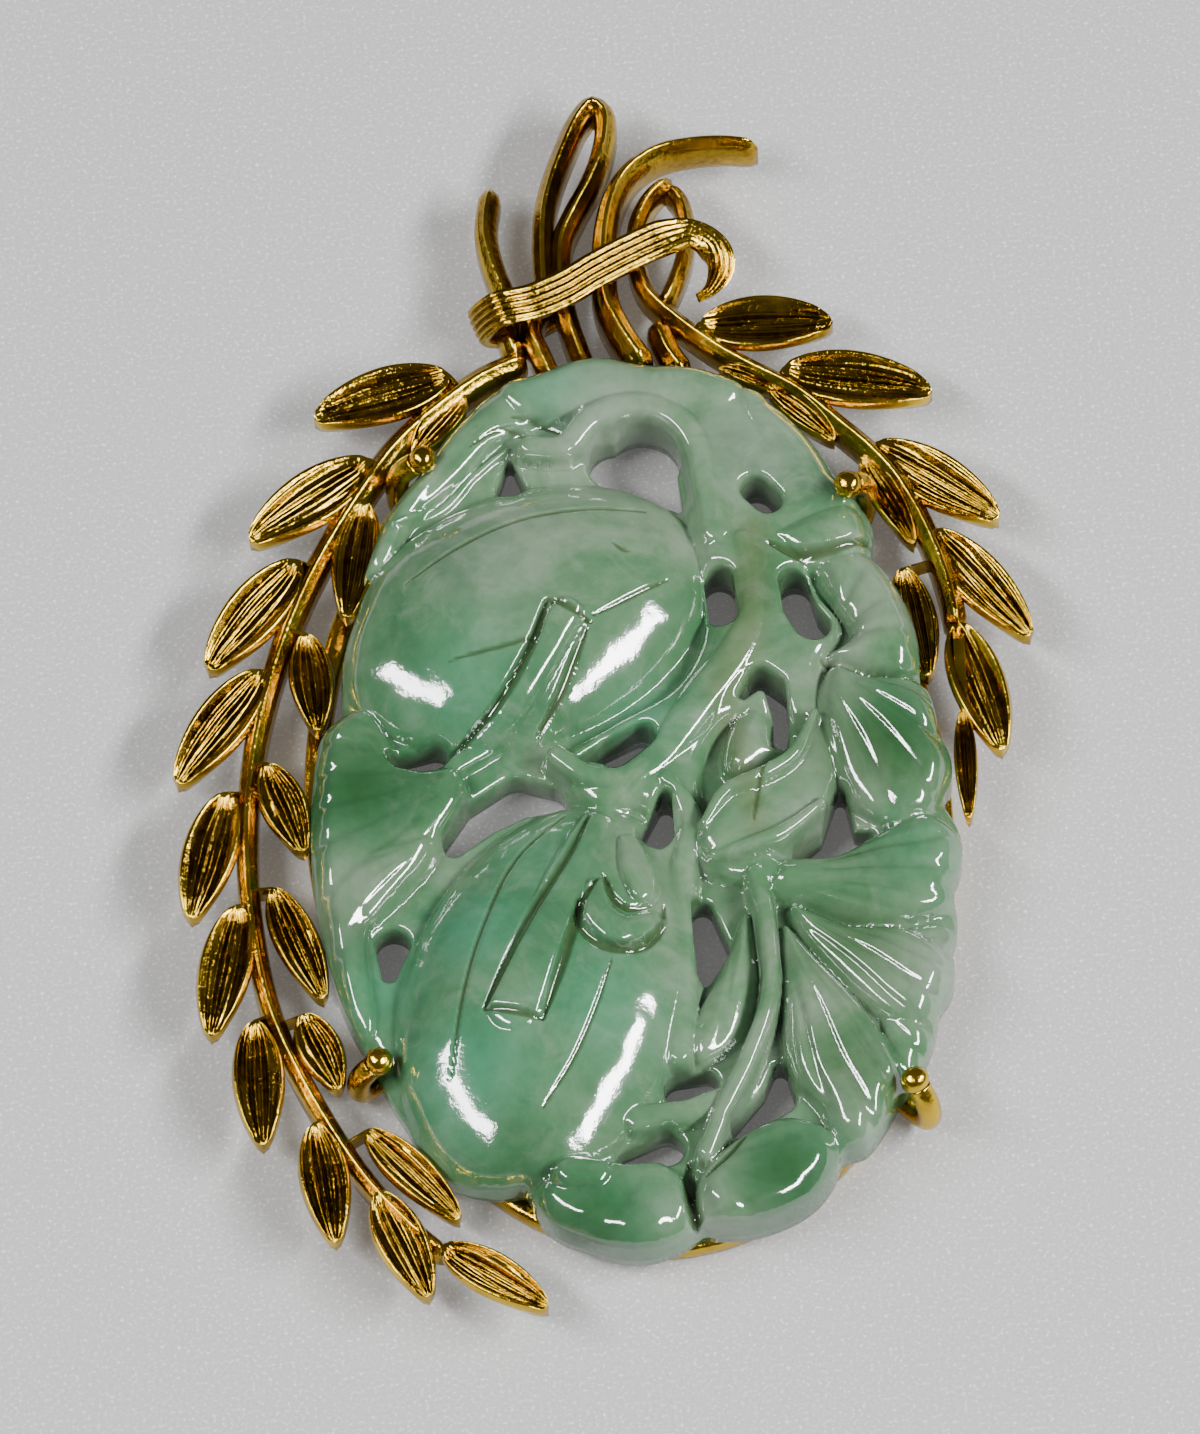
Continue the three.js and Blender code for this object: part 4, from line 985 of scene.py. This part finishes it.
# %% Stems
STEM_BOTTOM = 1.4
STEM_STEP = 0.3
END_ROWS = 2.5
END_LEAST = 0.1
STEM_SECTION = np.array([
    (-0.8, 0), (0.8, 0), (1, 0.12), (1, 0.5), (0.92, 0.7), (0.6, 0.86), (0.28, 0.92), (0.2, 0.99),
    (0, 1.02), (-0.2, 0.99), (-0.28, 0.92), (-0.6, 0.86), (-0.92, 0.7), (-1, 0.5), (-1, 0.12)])
STEM_GROOVE = np.array([0.3, 0.3, 0.6, 0.5, 0.5, 0.6, 0.8, 0, 0, 0, 0.8, 0.6, 0.5, 0.5, 0.6])


def stem(route, width, depth, taper=1):
    """A section scaled to half the width and the depth, set across a smooth flat path.

    The scale goes evenly from 1 to taper, and rounds off like a circle at both ends.
    """
    path = smooth_route(np.array(route, float)[:, :2], STEM_STEP)
    path = np.column_stack([path, np.zeros(len(path))])
    ahead = headings(path)
    side = np.column_stack([ahead[:, 1], -ahead[:, 0], np.zeros(len(path))])
    t = np.linspace(0, 1, len(path))
    scale = 1 + (taper - 1) * t
    ends = np.clip(np.minimum(t, 1 - t) * len(path) / END_ROWS, 0, 1)
    scale = scale * np.sqrt(np.clip(1 - (1 - ends) ** 2, END_LEAST, 1))
    half = width / 2 * scale
    tall = depth * (1 + scale) / 2
    rings = path[:, None] + side[:, None] * (half[:, None] * STEM_SECTION[:, 0])[..., None]
    rings[..., 2] = STEM_BOTTOM + tall[:, None] * STEM_SECTION[:, 1]
    return skin(rings[:, ::-1], np.tile(STEM_GROOVE[::-1], (len(path), 1)))


print("a stem's section has", len(STEM_SECTION), "points")


# %% [markdown]
# ## Leaves
#
# A leaf is a boat with a thick smooth rim. Its hollow top has deep lengthwise flutes,
# which run together at the tip. They could be cut as lines one by one, but a cosine
# across the leaf makes all of them at once. Its phase wavers by a seed, so the leaves
# of a branch aren't alike.

# %% A leaf's outline
BLUNTNESS = 0.12
FULLNESS = 0.92
EARLY = 0.88
FATNESS = 0.62
TIP_LENGTH = 0.75
TIP_SHARE = 0.62
TIP_LEAST = 0.02


def leaf_outline(body, length, width):
    """Half width along the body: a sine to powers under 1, which makes it fat, cut to a round tip."""
    half = width / 2 * (BLUNTNESS + FULLNESS * np.sin(math.pi * body**EARLY) ** FATNESS)
    tip = np.clip((1 - body) * length / TIP_LENGTH, 0, 1)
    round_tip = width / 2 * TIP_SHARE * np.sqrt(1 - (1 - tip) ** 2)
    return np.where(tip < 1, np.minimum(half, round_tip + TIP_LEAST), half)


print("half widths of a leaf 5 long and 2 wide:", leaf_outline(np.linspace(0, 1, 6), 5, 2).round(2))

# %% A leaf's flutes
LEAF_RIM = 0.8
FLUTE_WAVER = 0.7
FLUTE_BEAT = 0.28
FLUTE_EDGE = 0.12


def flute_valleys(body, across, flutes, seed):
    """Depth of the flutes, 0 to 1, and where they may lie, 1 in the hollow and 0 on the rim.

    The depth is the root of a cosine across the leaf, whose phase and strength waver.
    """
    rng = np.random.default_rng(seed)
    phase, bend, pace = rng.uniform((-0.8, 0, 2), (0.8, 2 * math.pi, 5))
    beat = 1 - FLUTE_BEAT + FLUTE_BEAT * np.sin(9 * across[None] + 4 * body[:, None] + bend)
    waver = FLUTE_WAVER * np.sin(pace * body + bend)[:, None]
    crowd = np.sin(math.pi / 2 * across / LEAF_RIM)[None]
    wave = 0.5 + 0.5 * np.cos(math.pi * flutes * crowd + phase + waver)
    within = smoothstep((LEAF_RIM - np.abs(across)) / FLUTE_EDGE)
    return np.sqrt(wave) * within * beat, within


valleys = flute_valleys(np.full(1, 0.5), np.linspace(-1, 1, 9), 5, 1)[0]
print("flutes across the middle of a leaf:", valleys.round(2))

# %% A leaf's skin
LEAF_THICKNESS = 1.2
LEAF_BOTTOM = 1.75
LEAF_DISH = 0.35
FLUTE_DEPTH = 0.34
GROOVE_TONE = 0.5
LEAF_ARCH = 0.25
LEAF_DROOP = 0.25
DROOP_START = 0.85
RIM_START = 0.85
RIM_FALL = 0.35
NECK_LENGTH = 0.12
NECK_HALF = 0.3
UNDER_RISE = 0.28
UNDER_SHARE = 0.96
UNDER_GROOVE = 0.5
LEAF_ROWS = 36
LEAF_ACROSS = 61


def leaf(start, end, width, neck, flutes, seed):
    """Rings across the leaf's length, from its neck to its tip: a dish with flutes above, flat below."""
    start, end, neck = (np.array(place, float) for place in (start, end, neck))
    along = end - start
    length = np.linalg.norm(along)
    side = np.array([along[1], -along[0]]) / length
    u = np.concatenate([np.linspace(-NECK_LENGTH, 0, 4)[:-1], np.linspace(0, 1, LEAF_ROWS)])
    body = np.clip(u, 0, 1)
    half = np.where(u < 0, NECK_HALF, leaf_outline(body, length, width))
    necked = smoothstep(np.clip(-u / NECK_LENGTH, 0, 1))
    middle = start + body[:, None] * along
    middle = middle + necked[:, None] * (neck - start)

    across = np.linspace(-1, 1, LEAF_ACROSS)
    valley, within = flute_valleys(body, across, flutes, seed)
    dish = LEAF_DISH * (1 - np.clip(np.abs(across) / LEAF_RIM, 0, 1) ** 2)
    envelope = smoothstep(body / 0.12) * smoothstep((1 - body) / 0.1)
    size = np.clip(half / (width / 2), 0, 1)
    crown = 1 - RIM_FALL * np.clip((np.abs(across) - RIM_START) / (1 - RIM_START), 0, 1) ** 2
    top = LEAF_THICKNESS * crown[None] - (envelope * size)[:, None] * (dish[None] + FLUTE_DEPTH * valley)
    top = top - LEAF_DROOP * smoothstep((body - DROOP_START) / (1 - DROOP_START))[:, None]
    groove = envelope[:, None] * (GROOVE_TONE * within + (1 - GROOVE_TONE) * valley**1.3)

    under = np.linspace(1, -1, 9)[1:-1]
    low = UNDER_RISE * np.abs(under) ** 3
    ring_across = np.concatenate([across, under * UNDER_SHARE])
    heights = np.concatenate([top, np.repeat(low[None], len(u), 0)], 1)
    grooves = np.concatenate([groove, np.full((len(u), len(under)), UNDER_GROOVE)], 1)
    rings = np.zeros((len(u), len(ring_across), 3))
    rings[..., :2] = middle[:, None] + side * (half[:, None] * ring_across)[..., None]
    rings[..., 2] = LEAF_BOTTOM + (LEAF_ARCH * np.sin(math.pi * body))[:, None] + heights
    return skin(rings, grooves)


print("a leaf has", len(leaf((0, 0), (0, 5), 2, (0, -1), 5, 1)[0]), "points")


# %% A leaf's place on its stem
def nearest_on(route, place):
    """The nearest place on a route's stretches."""
    best, found = np.inf, None
    place = np.array(place, float)
    for a, b in zip(route[:-1], route[1:]):
        a, b = np.array(a[:2], float), np.array(b[:2], float)
        t = np.clip(np.dot(place - a, b - a) / np.dot(b - a, b - a), 0, 1)
        candidate = a + t * (b - a)
        if np.linalg.norm(candidate - place) < best:
            best, found = np.linalg.norm(candidate - place), candidate
    return found


print("nearest to (1, 2) on a level line:", nearest_on([(0, 0), (5, 0)], (1, 2)))

# %% [markdown]
# ## The two branches
#
# Each branch is a long stem with its leaves, and one or two short stems. A leaf is given
# by its two ends and its width, which are easier to see than an angle and a distance
# along the stem. Its neck is led to the nearest place of the stem, so a leaf stays
# joined when its stem is moved.

# %% Branches
LEFT_STEM = [
    (-2.8, 27.2), (-5, 26.4), (-7.2, 25), (-9.5, 23.1), (-11.5, 20.6), (-13.6, 17.5), (-14.9, 15.2),
    (-16.7, 11), (-17.9, 7), (-18.6, 2.5), (-18.75, -1.5), (-18.3, -6.5), (-17.3, -10), (-15.9, -13.5),
    (-14.3, -16.6), (-12.3, -19.3), (-11.4, -20.2),
]
SHORT_STEM = [(-3.5, 37.1), (-4, 34.6), (-3.8, 32.4), (-3.4, 30.6), (-3.5, 28.8), (-3.2, 27.2)]
RIGHT_RETURN = [(4.1, 29.2), (4.9, 30.7), (5.4, 31.9), (5.75, 33.7), (5.6, 35.2), (5, 36.2)]
RIGHT_STEM = [
    (5.3, 36.5), (4.2, 35.6), (3.4, 34.2), (3.1, 32.3), (3.4, 30.3), (4.3, 28.9), (6.3, 26.7), (7.8, 25.4),
    (10, 23.7), (11.8, 21.6), (13.1, 20), (14.2, 18.2), (15.35, 15), (15.95, 12), (16.1, 9.6),
]
RIGHT_SPUR = [(3.7, 28.6), (4, 27), (4.8, 25.3)]
LEFT_LEAVES = [
    ((-6.6, 26.6), (-13.3, 25.1), 3), ((-10.8, 22.3), (-17, 18.7), 3), ((-14.8, 17.2), (-19.6, 11.9), 2.9),
    ((-17.1, 11.4), (-21.6, 5.9), 2.7), ((-19.3, 5), (-21.6, -1.4), 2.6), ((-19.3, -1.1), (-21.2, -7.7), 2.5),
    ((-19.1, -7.3), (-19.3, -13.7), 2.4), ((-16.8, -13), (-16.4, -19.1), 2.3),
    ((-14.2, -16.9), (-12.4, -22.4), 2.4), ((-11.5, -20), (-7, -23.6), 2.2),
    ((-6, 25.4), (-8.7, 22.5), 1.8), ((-11.3, 20), (-12.8, 13.9), 2.2), ((-14.8, 13.1), (-14.7, 7.9), 2.1),
    ((-17.3, 6.3), (-16, 1.5), 2.2), ((-17.6, -0.4), (-15.8, -6.4), 2.1),
    ((-16.8, -7.2), (-15.5, -11.2), 2.1), ((-14.4, -13.6), (-10.6, -18.6), 2),
]
RIGHT_LEAVES = [
    ((5.8, 27.9), (12.2, 27.4), 3), ((9.5, 24.9), (16.5, 22.9), 3.1), ((13.4, 20.2), (18.8, 15.5), 2.9),
    ((15.6, 15.1), (19.5, 8.9), 2.6), ((16.1, 9.9), (17.4, 2.9), 2.6), ((15.8, 5.2), (15.4, -0.6), 1.1),
    ((9, 23.9), (6.4, 25.5), 0.9), ((8.7, 24.1), (11.5, 20.8), 1.5), ((12.7, 19.6), (14.6, 14.6), 1.5),
    ((13.9, 13.2), (14.4, 7.3), 2.1),
]


def leaves_on(route, leaves):
    """Every leaf of a branch, its neck at the nearest place of the stem."""
    return [leaf(start, end, width, nearest_on(route, start), 5 if width > 2.4 else 4, seed)
            for seed, (start, end, width) in enumerate(leaves)]


left_branch = join([stem(LEFT_STEM, 1.3, 1.8, 0.7), stem(SHORT_STEM, 1.15, 1.8)]
                   + leaves_on(LEFT_STEM, LEFT_LEAVES))
right_branch = join([stem(RIGHT_RETURN, 0.9, 1.8), stem(RIGHT_STEM, 0.9, 1.8, 1.3),
                     stem(RIGHT_SPUR, 1.3, 1.8)]
                    + leaves_on(RIGHT_STEM, RIGHT_LEAVES))
make_gold("branch_left", left_branch, "left_branch")
make_gold("branch_right", right_branch, "right_branch")

# %% [markdown]
# ## Loop and hooked stem
#
# Above the stone the stems run on as a spray: a strip bent to a tall loop, and a stem
# that ends in a hook. Each could have a profile of its own, but they look much like the
# branches' stems, so they use `stem` too, with other widths.

# %% Loop and hooked stem
TALL_LOOP = [
    (-1.5, 25.2), (-2.1, 27.4), (-2.4, 28.6), (-1.6, 30.6), (-1.35, 33.3), (-1.05, 35.3), (-0.5, 37),
    (0.3, 38.8), (1.1, 40.3), (1.9, 41.1), (2.4, 40.6), (2.4, 39.6), (2, 38.1), (1.3, 36.6), (0.4, 35.1),
    (-0.35, 33.6), (-0.65, 31.6), (-0.6, 29.6), (-0.4, 28.2), (0.2, 25.4),
]
HOOKED_STEM = [
    (9.7, 37.7), (8, 38.05), (6.4, 38.1), (4.8, 37.85), (3.4, 37), (2.4, 35.6), (1.8, 33.8), (1.5, 31.8),
    (1.4, 29.6), (1.8, 28), (2.9, 25.4),
]
make_gold("loop_tall", stem(TALL_LOOP, 1.1, 2.1), "tall_loop")
make_gold("stem_hooked", stem(HOOKED_STEM, 0.85, 2.1, 1.75), "hooked_stem")

# %% [markdown]
# ## Band
#
# A ribbon with lengthwise ribs ties the stems. It goes round them from the back,
# across the front, and ends in a curl with a pointed tail. It could be a closed ring,
# but the curl needs an open path. The third number of a place is how far forward it
# is, from 0 behind the stems to 1 in front of them.

# %% Band
TIE = [
    (-0.6, 31, 0), (-3.2, 30, 0), (-4.9, 29.4, 0.5), (-4, 29.2, 1), (-2.2, 29.5, 1), (-0.5, 30.1, 1),
    (1, 30.9, 1), (3, 31.8, 1), (4.7, 32.4, 1), (6, 32.5, 0.95), (6.9, 31.9, 0.8), (7.05, 31, 0.6),
    (6.5, 30.3, 0.4), (5.9, 30.1, 0.3),
]
BAND_WIDTH = 1.85
BAND_THICKNESS = 0.6
BAND_BACK = STEM_BOTTOM - 0.6
BAND_FRONT = STEM_BOTTOM + 2.7
BAND_RIBS = 5
BAND_STEP = 0.12
BAND_ACROSS = 31
BAND_UNDER = 7
RIB_DEPTH = 0.2
SHOULDER = 0.12
RIBBED = 0.97
CURL_START = 0.72
CURL_LENGTH = 0.12
CURL_LEAN = -0.5
TAIL_START = 0.88
TAIL_LOSS = 0.75


def band():
    """A ribbon with ribs on its outer side, along a path through the places of TIE.

    Its width lies square to the tie's long way. From CURL_START on it turns to lie
    across the path and lean, so the end curls flat, and it narrows to a pointed tail.
    """
    control = np.array(TIE, float)
    control[:, 2] = BAND_BACK + control[:, 2] * (BAND_FRONT - BAND_BACK)
    path = smooth_route(control, BAND_STEP)
    ahead = headings(path)
    level = np.array(TIE[8][:2]) - np.array(TIE[0][:2])
    level = level / np.linalg.norm(level)
    t = np.linspace(0, 1, len(path))
    curl = smoothstep((t - CURL_START) / CURL_LENGTH)[:, None]
    flat_side = np.stack([-ahead[:, 1], ahead[:, 0], np.full(len(path), CURL_LEAN)], 1)
    across = (1 - curl) * np.array([-level[1], level[0], 0]) + curl * flat_side
    across /= np.linalg.norm(across, axis=1, keepdims=True)
    outward = np.cross(ahead, across)
    outward /= np.linalg.norm(outward, axis=1, keepdims=True)
    width = BAND_WIDTH / 2 * (1 - TAIL_LOSS * smoothstep((t - TAIL_START) / (1 - TAIL_START)))
    v = np.linspace(1, -1, BAND_ACROSS)
    wave = 0.5 - 0.5 * np.cos(math.pi * BAND_RIBS * (v + 1))
    valley = (1 - wave) * (np.abs(v) < RIBBED)
    upper = BAND_THICKNESS / 2 - RIB_DEPTH * valley - SHOULDER * np.abs(v) ** 6
    wide = np.concatenate([v, np.linspace(-1, 1, BAND_UNDER)])
    out = np.concatenate([upper, np.full(BAND_UNDER, -BAND_THICKNESS / 2)])
    groove = np.concatenate([valley, np.zeros(BAND_UNDER)])
    rings = (path[:, None] + across[:, None] * (width[:, None] * wide)[..., None]
             + outward[:, None] * out[None, :, None])
    return skin(rings, np.tile(groove, (len(path), 1)))


make_gold("band", band(), "tie_band")

# %% [markdown]
# ## Rim and claws
#
# The stone sits on an oval rim, held by four claws. A claw is a wire that stands up from
# the rim, bends over the stone's edge and ends in a ball. A ring and four bent cylinders
# would do, but their joints would show. So the rim is a ring of sections closed on
# itself, and a claw is one skin whose last rings swell to the ball.

# %% Rim
RIM_MIDDLE = np.array([-0.5, 2.5])
RIM_HALF = np.array([14.75, 22.6])
RIM_WIDTH = 1.2
RIM_HEIGHT = 1.1
RIM_ROWS = 240
RIM_AROUND = 16
RIM_SQUARENESS = 0.6
RIM_GROOVE = 0.2


def rim_skin():
    """An oval ring of a rounded square section, closed on itself."""
    angle = np.arange(RIM_ROWS) * 2 * math.pi / RIM_ROWS
    direction = np.stack([np.cos(angle), np.sin(angle)], 1)
    turn_angle = np.arange(RIM_AROUND) * 2 * math.pi / RIM_AROUND
    cos, sin = np.cos(turn_angle), np.sin(turn_angle)
    square = np.maximum(np.abs(cos), np.abs(sin)) ** RIM_SQUARENESS
    out, up_by = cos / square * RIM_WIDTH / 2, sin / square * RIM_HEIGHT / 2
    centre = RIM_MIDDLE + direction * RIM_HALF
    rings = np.zeros((RIM_ROWS, RIM_AROUND, 3))
    rings[..., :2] = centre[:, None] + direction[:, None] * out[None, :, None]
    rings[..., 2] = RIM_HEIGHT / 2 + np.clip(up_by, -RIM_HEIGHT / 2, RIM_HEIGHT / 2)
    ids = np.arange(RIM_ROWS * RIM_AROUND).reshape(RIM_ROWS, RIM_AROUND)
    after = np.roll(ids, -1, 0)
    faces = np.stack([ids, after, np.roll(after, -1, 1), np.roll(ids, -1, 1)], -1).reshape(-1, 4)
    return rings.reshape(-1, 3), faces.tolist(), np.full(ids.size, RIM_GROOVE)


print("the rim has", len(rim_skin()[0]), "points")

# %% Claws
CLAWS = [
    ((-9.7, 21), (-8.3, 21), 0.9), ((12.7, 17.6), (11.7, 16.9), 1.2),
    ((-14.6, -10.9), (-13.5, -10.7), 0.3), ((11.7, -15.6), (11.1, -14.7), 0.3),
]
CLAW_RADIUS = 0.575
CLAW_OVER = 0.69
CLAW_BEND = 1.15
CLAW_ROWS = 40
CLAW_EASINGS = 40
CLAW_AROUND = 18
CLAW_GROOVE = 0.1
BALL_RADIUS = CLAW_RADIUS * 1.2
BALL_ROWS = 13
BALL_OVERLAP = 3
BALL_FLATNESS = 0.9
NOT_ALONG = (0.3, 0.8, 0.2)


def claw(foot, head, rise):
    """A round wire up from the rim and over the plaque's edge, its end swelling to a ball.

    The path is straight between four places and is then averaged with its neighbours
    many times, which bends it softly. The last rows are a ball's circles.
    """
    foot, head = np.array(foot, float), np.array(head, float)
    spoke = (foot - RIM_MIDDLE) / RIM_HALF
    root = RIM_MIDDLE + RIM_HALF * spoke / np.linalg.norm(spoke)
    top_z = GROUND + rise + CLAW_OVER
    knots = np.array([
        (*root, RIM_HEIGHT / 2), (*foot, RIM_HEIGHT), (*foot, top_z - CLAW_BEND), (*head, top_z)])
    fine = np.linspace(0, 3, CLAW_ROWS)
    path = np.stack([np.interp(fine, range(4), knots[:, k]) for k in range(3)], 1)
    for _ in range(CLAW_EASINGS):
        path[1:-1] = (path[:-2] + 2 * path[1:-1] + path[2:]) / 4
    ahead = headings(path)
    across = np.cross(ahead, NOT_ALONG)
    across /= np.linalg.norm(across, axis=1, keepdims=True)
    third = np.cross(ahead, across)

    tail = np.linspace(-1, 1, BALL_ROWS + 1)[1:]
    bulge = BALL_RADIUS * np.sqrt(np.clip(1 - tail**2, 0.001, 1))
    bulge[:6] = np.maximum(bulge[:6], CLAW_RADIUS * 0.95)
    radius = np.concatenate([np.full(CLAW_ROWS - BALL_OVERLAP, CLAW_RADIUS), bulge])
    cap = path[-1] + ahead[-1] * BALL_RADIUS * tail[:, None] * BALL_FLATNESS
    path = np.vstack([path[:-BALL_OVERLAP], cap])
    across = np.vstack([across[:-BALL_OVERLAP], np.repeat(across[-1:], BALL_ROWS, 0)])
    third = np.vstack([third[:-BALL_OVERLAP], np.repeat(third[-1:], BALL_ROWS, 0)])
    angle = np.arange(CLAW_AROUND) * 2 * math.pi / CLAW_AROUND
    rings = (path[:, None] + across[:, None] * (radius[:, None] * np.cos(angle))[..., None]
             + third[:, None] * (radius[:, None] * np.sin(angle))[..., None])
    return skin(rings, np.full((len(path), CLAW_AROUND), CLAW_GROOVE))


make_gold("rim", join([rim_skin()] + [claw(*row) for row in CLAWS]), "setting_rim")

# %% [markdown]
# ## Table and light
#
# A pale table with a fine speckle keeps the eye on the piece. Two long strips of light,
# one on the left and one on the right, make the long white streaks on the melons: a
# polished dome shows the shape of its light. The dim room and a painted glow of the table fill the shadows.

# %% Table
TABLE_SIZE = 0.8
TABLE_GRAIN = (5200, 0.00003)
# The emission is a painted glow over the whole table, lightening its shadows and the stone's windows.
TABLE_FINISH_AND_PAINTED_GLOW = {"Roughness": 0.5, "Emission Color": (1, 0.97, 0.97, 1), "Emission Strength": 0.1}


def table_material():
    """Pale grey with fine brighter specks, and a painted glow over all of it for light through the stone."""
    material, tree, shader = new_material("table")
    speck = add_grain(tree, shader, *TABLE_GRAIN)
    colour = ramp(tree, speck, [
        (0.4, (0.33, 0.33, 0.33)), (0.58, (0.37, 0.37, 0.37)), (0.68, (0.62, 0.62, 0.62))])
    tree.links.new(colour, shader.inputs["Base Color"])
    set_inputs(shader, TABLE_FINISH_AND_PAINTED_GLOW)
    return material


half_table = TABLE_SIZE / 2
table_mesh = bpy.data.meshes.new("table")
table_mesh.from_pydata([(-half_table, -half_table, 0), (half_table, -half_table, 0),
                        (half_table, half_table, 0), (-half_table, half_table, 0)], [], [(0, 1, 2, 3)])
table_mesh.materials.append(table_material())
table = bpy.data.objects.new("table", table_mesh)
bpy.context.scene.collection.objects.link(table)
print("table:", TABLE_SIZE, "m wide")


# %% Lights
STRIP_WIDTH = 0.065


def strip_light(name, start, end, width, power):
    """A long soft light between two places, its broad side facing the part."""
    start, end = Vector(start), Vector(end)
    middle = (start + end) / 2
    back = middle.normalized()
    long_way = (end - start - (end - start).dot(back) * back).normalized()
    data = bpy.data.lights.new(name, "AREA")
    data.shape = "RECTANGLE"
    data.size, data.size_y = (end - start).length, width
    data.energy = power
    light = bpy.data.objects.new(name, data)
    turn = Matrix((long_way, back.cross(long_way), back)).transposed().to_4x4()
    light.matrix_world = Matrix.Translation(middle) @ turn
    bpy.context.scene.collection.objects.link(light)
    print(name, "is", round((end - start).length, 3), "m long")


strip_light("left_light", (-0.2, -0.2, 0.42), (-0.38, 0.12, 0.3), STRIP_WIDTH, 3.1)
strip_light("right_light", (0.23, -0.3, 0.32), (0.4, 0.03, 0.3), STRIP_WIDTH, 5)

# %% Room
ROOM = {"Color": (0.96, 0.97, 1, 1), "Strength": 0.11}
world = bpy.data.worlds.new("room")
world.use_nodes = True
set_inputs(world.node_tree.nodes["Background"], ROOM)
bpy.context.scene.world = world
print("the room's light:", ROOM)
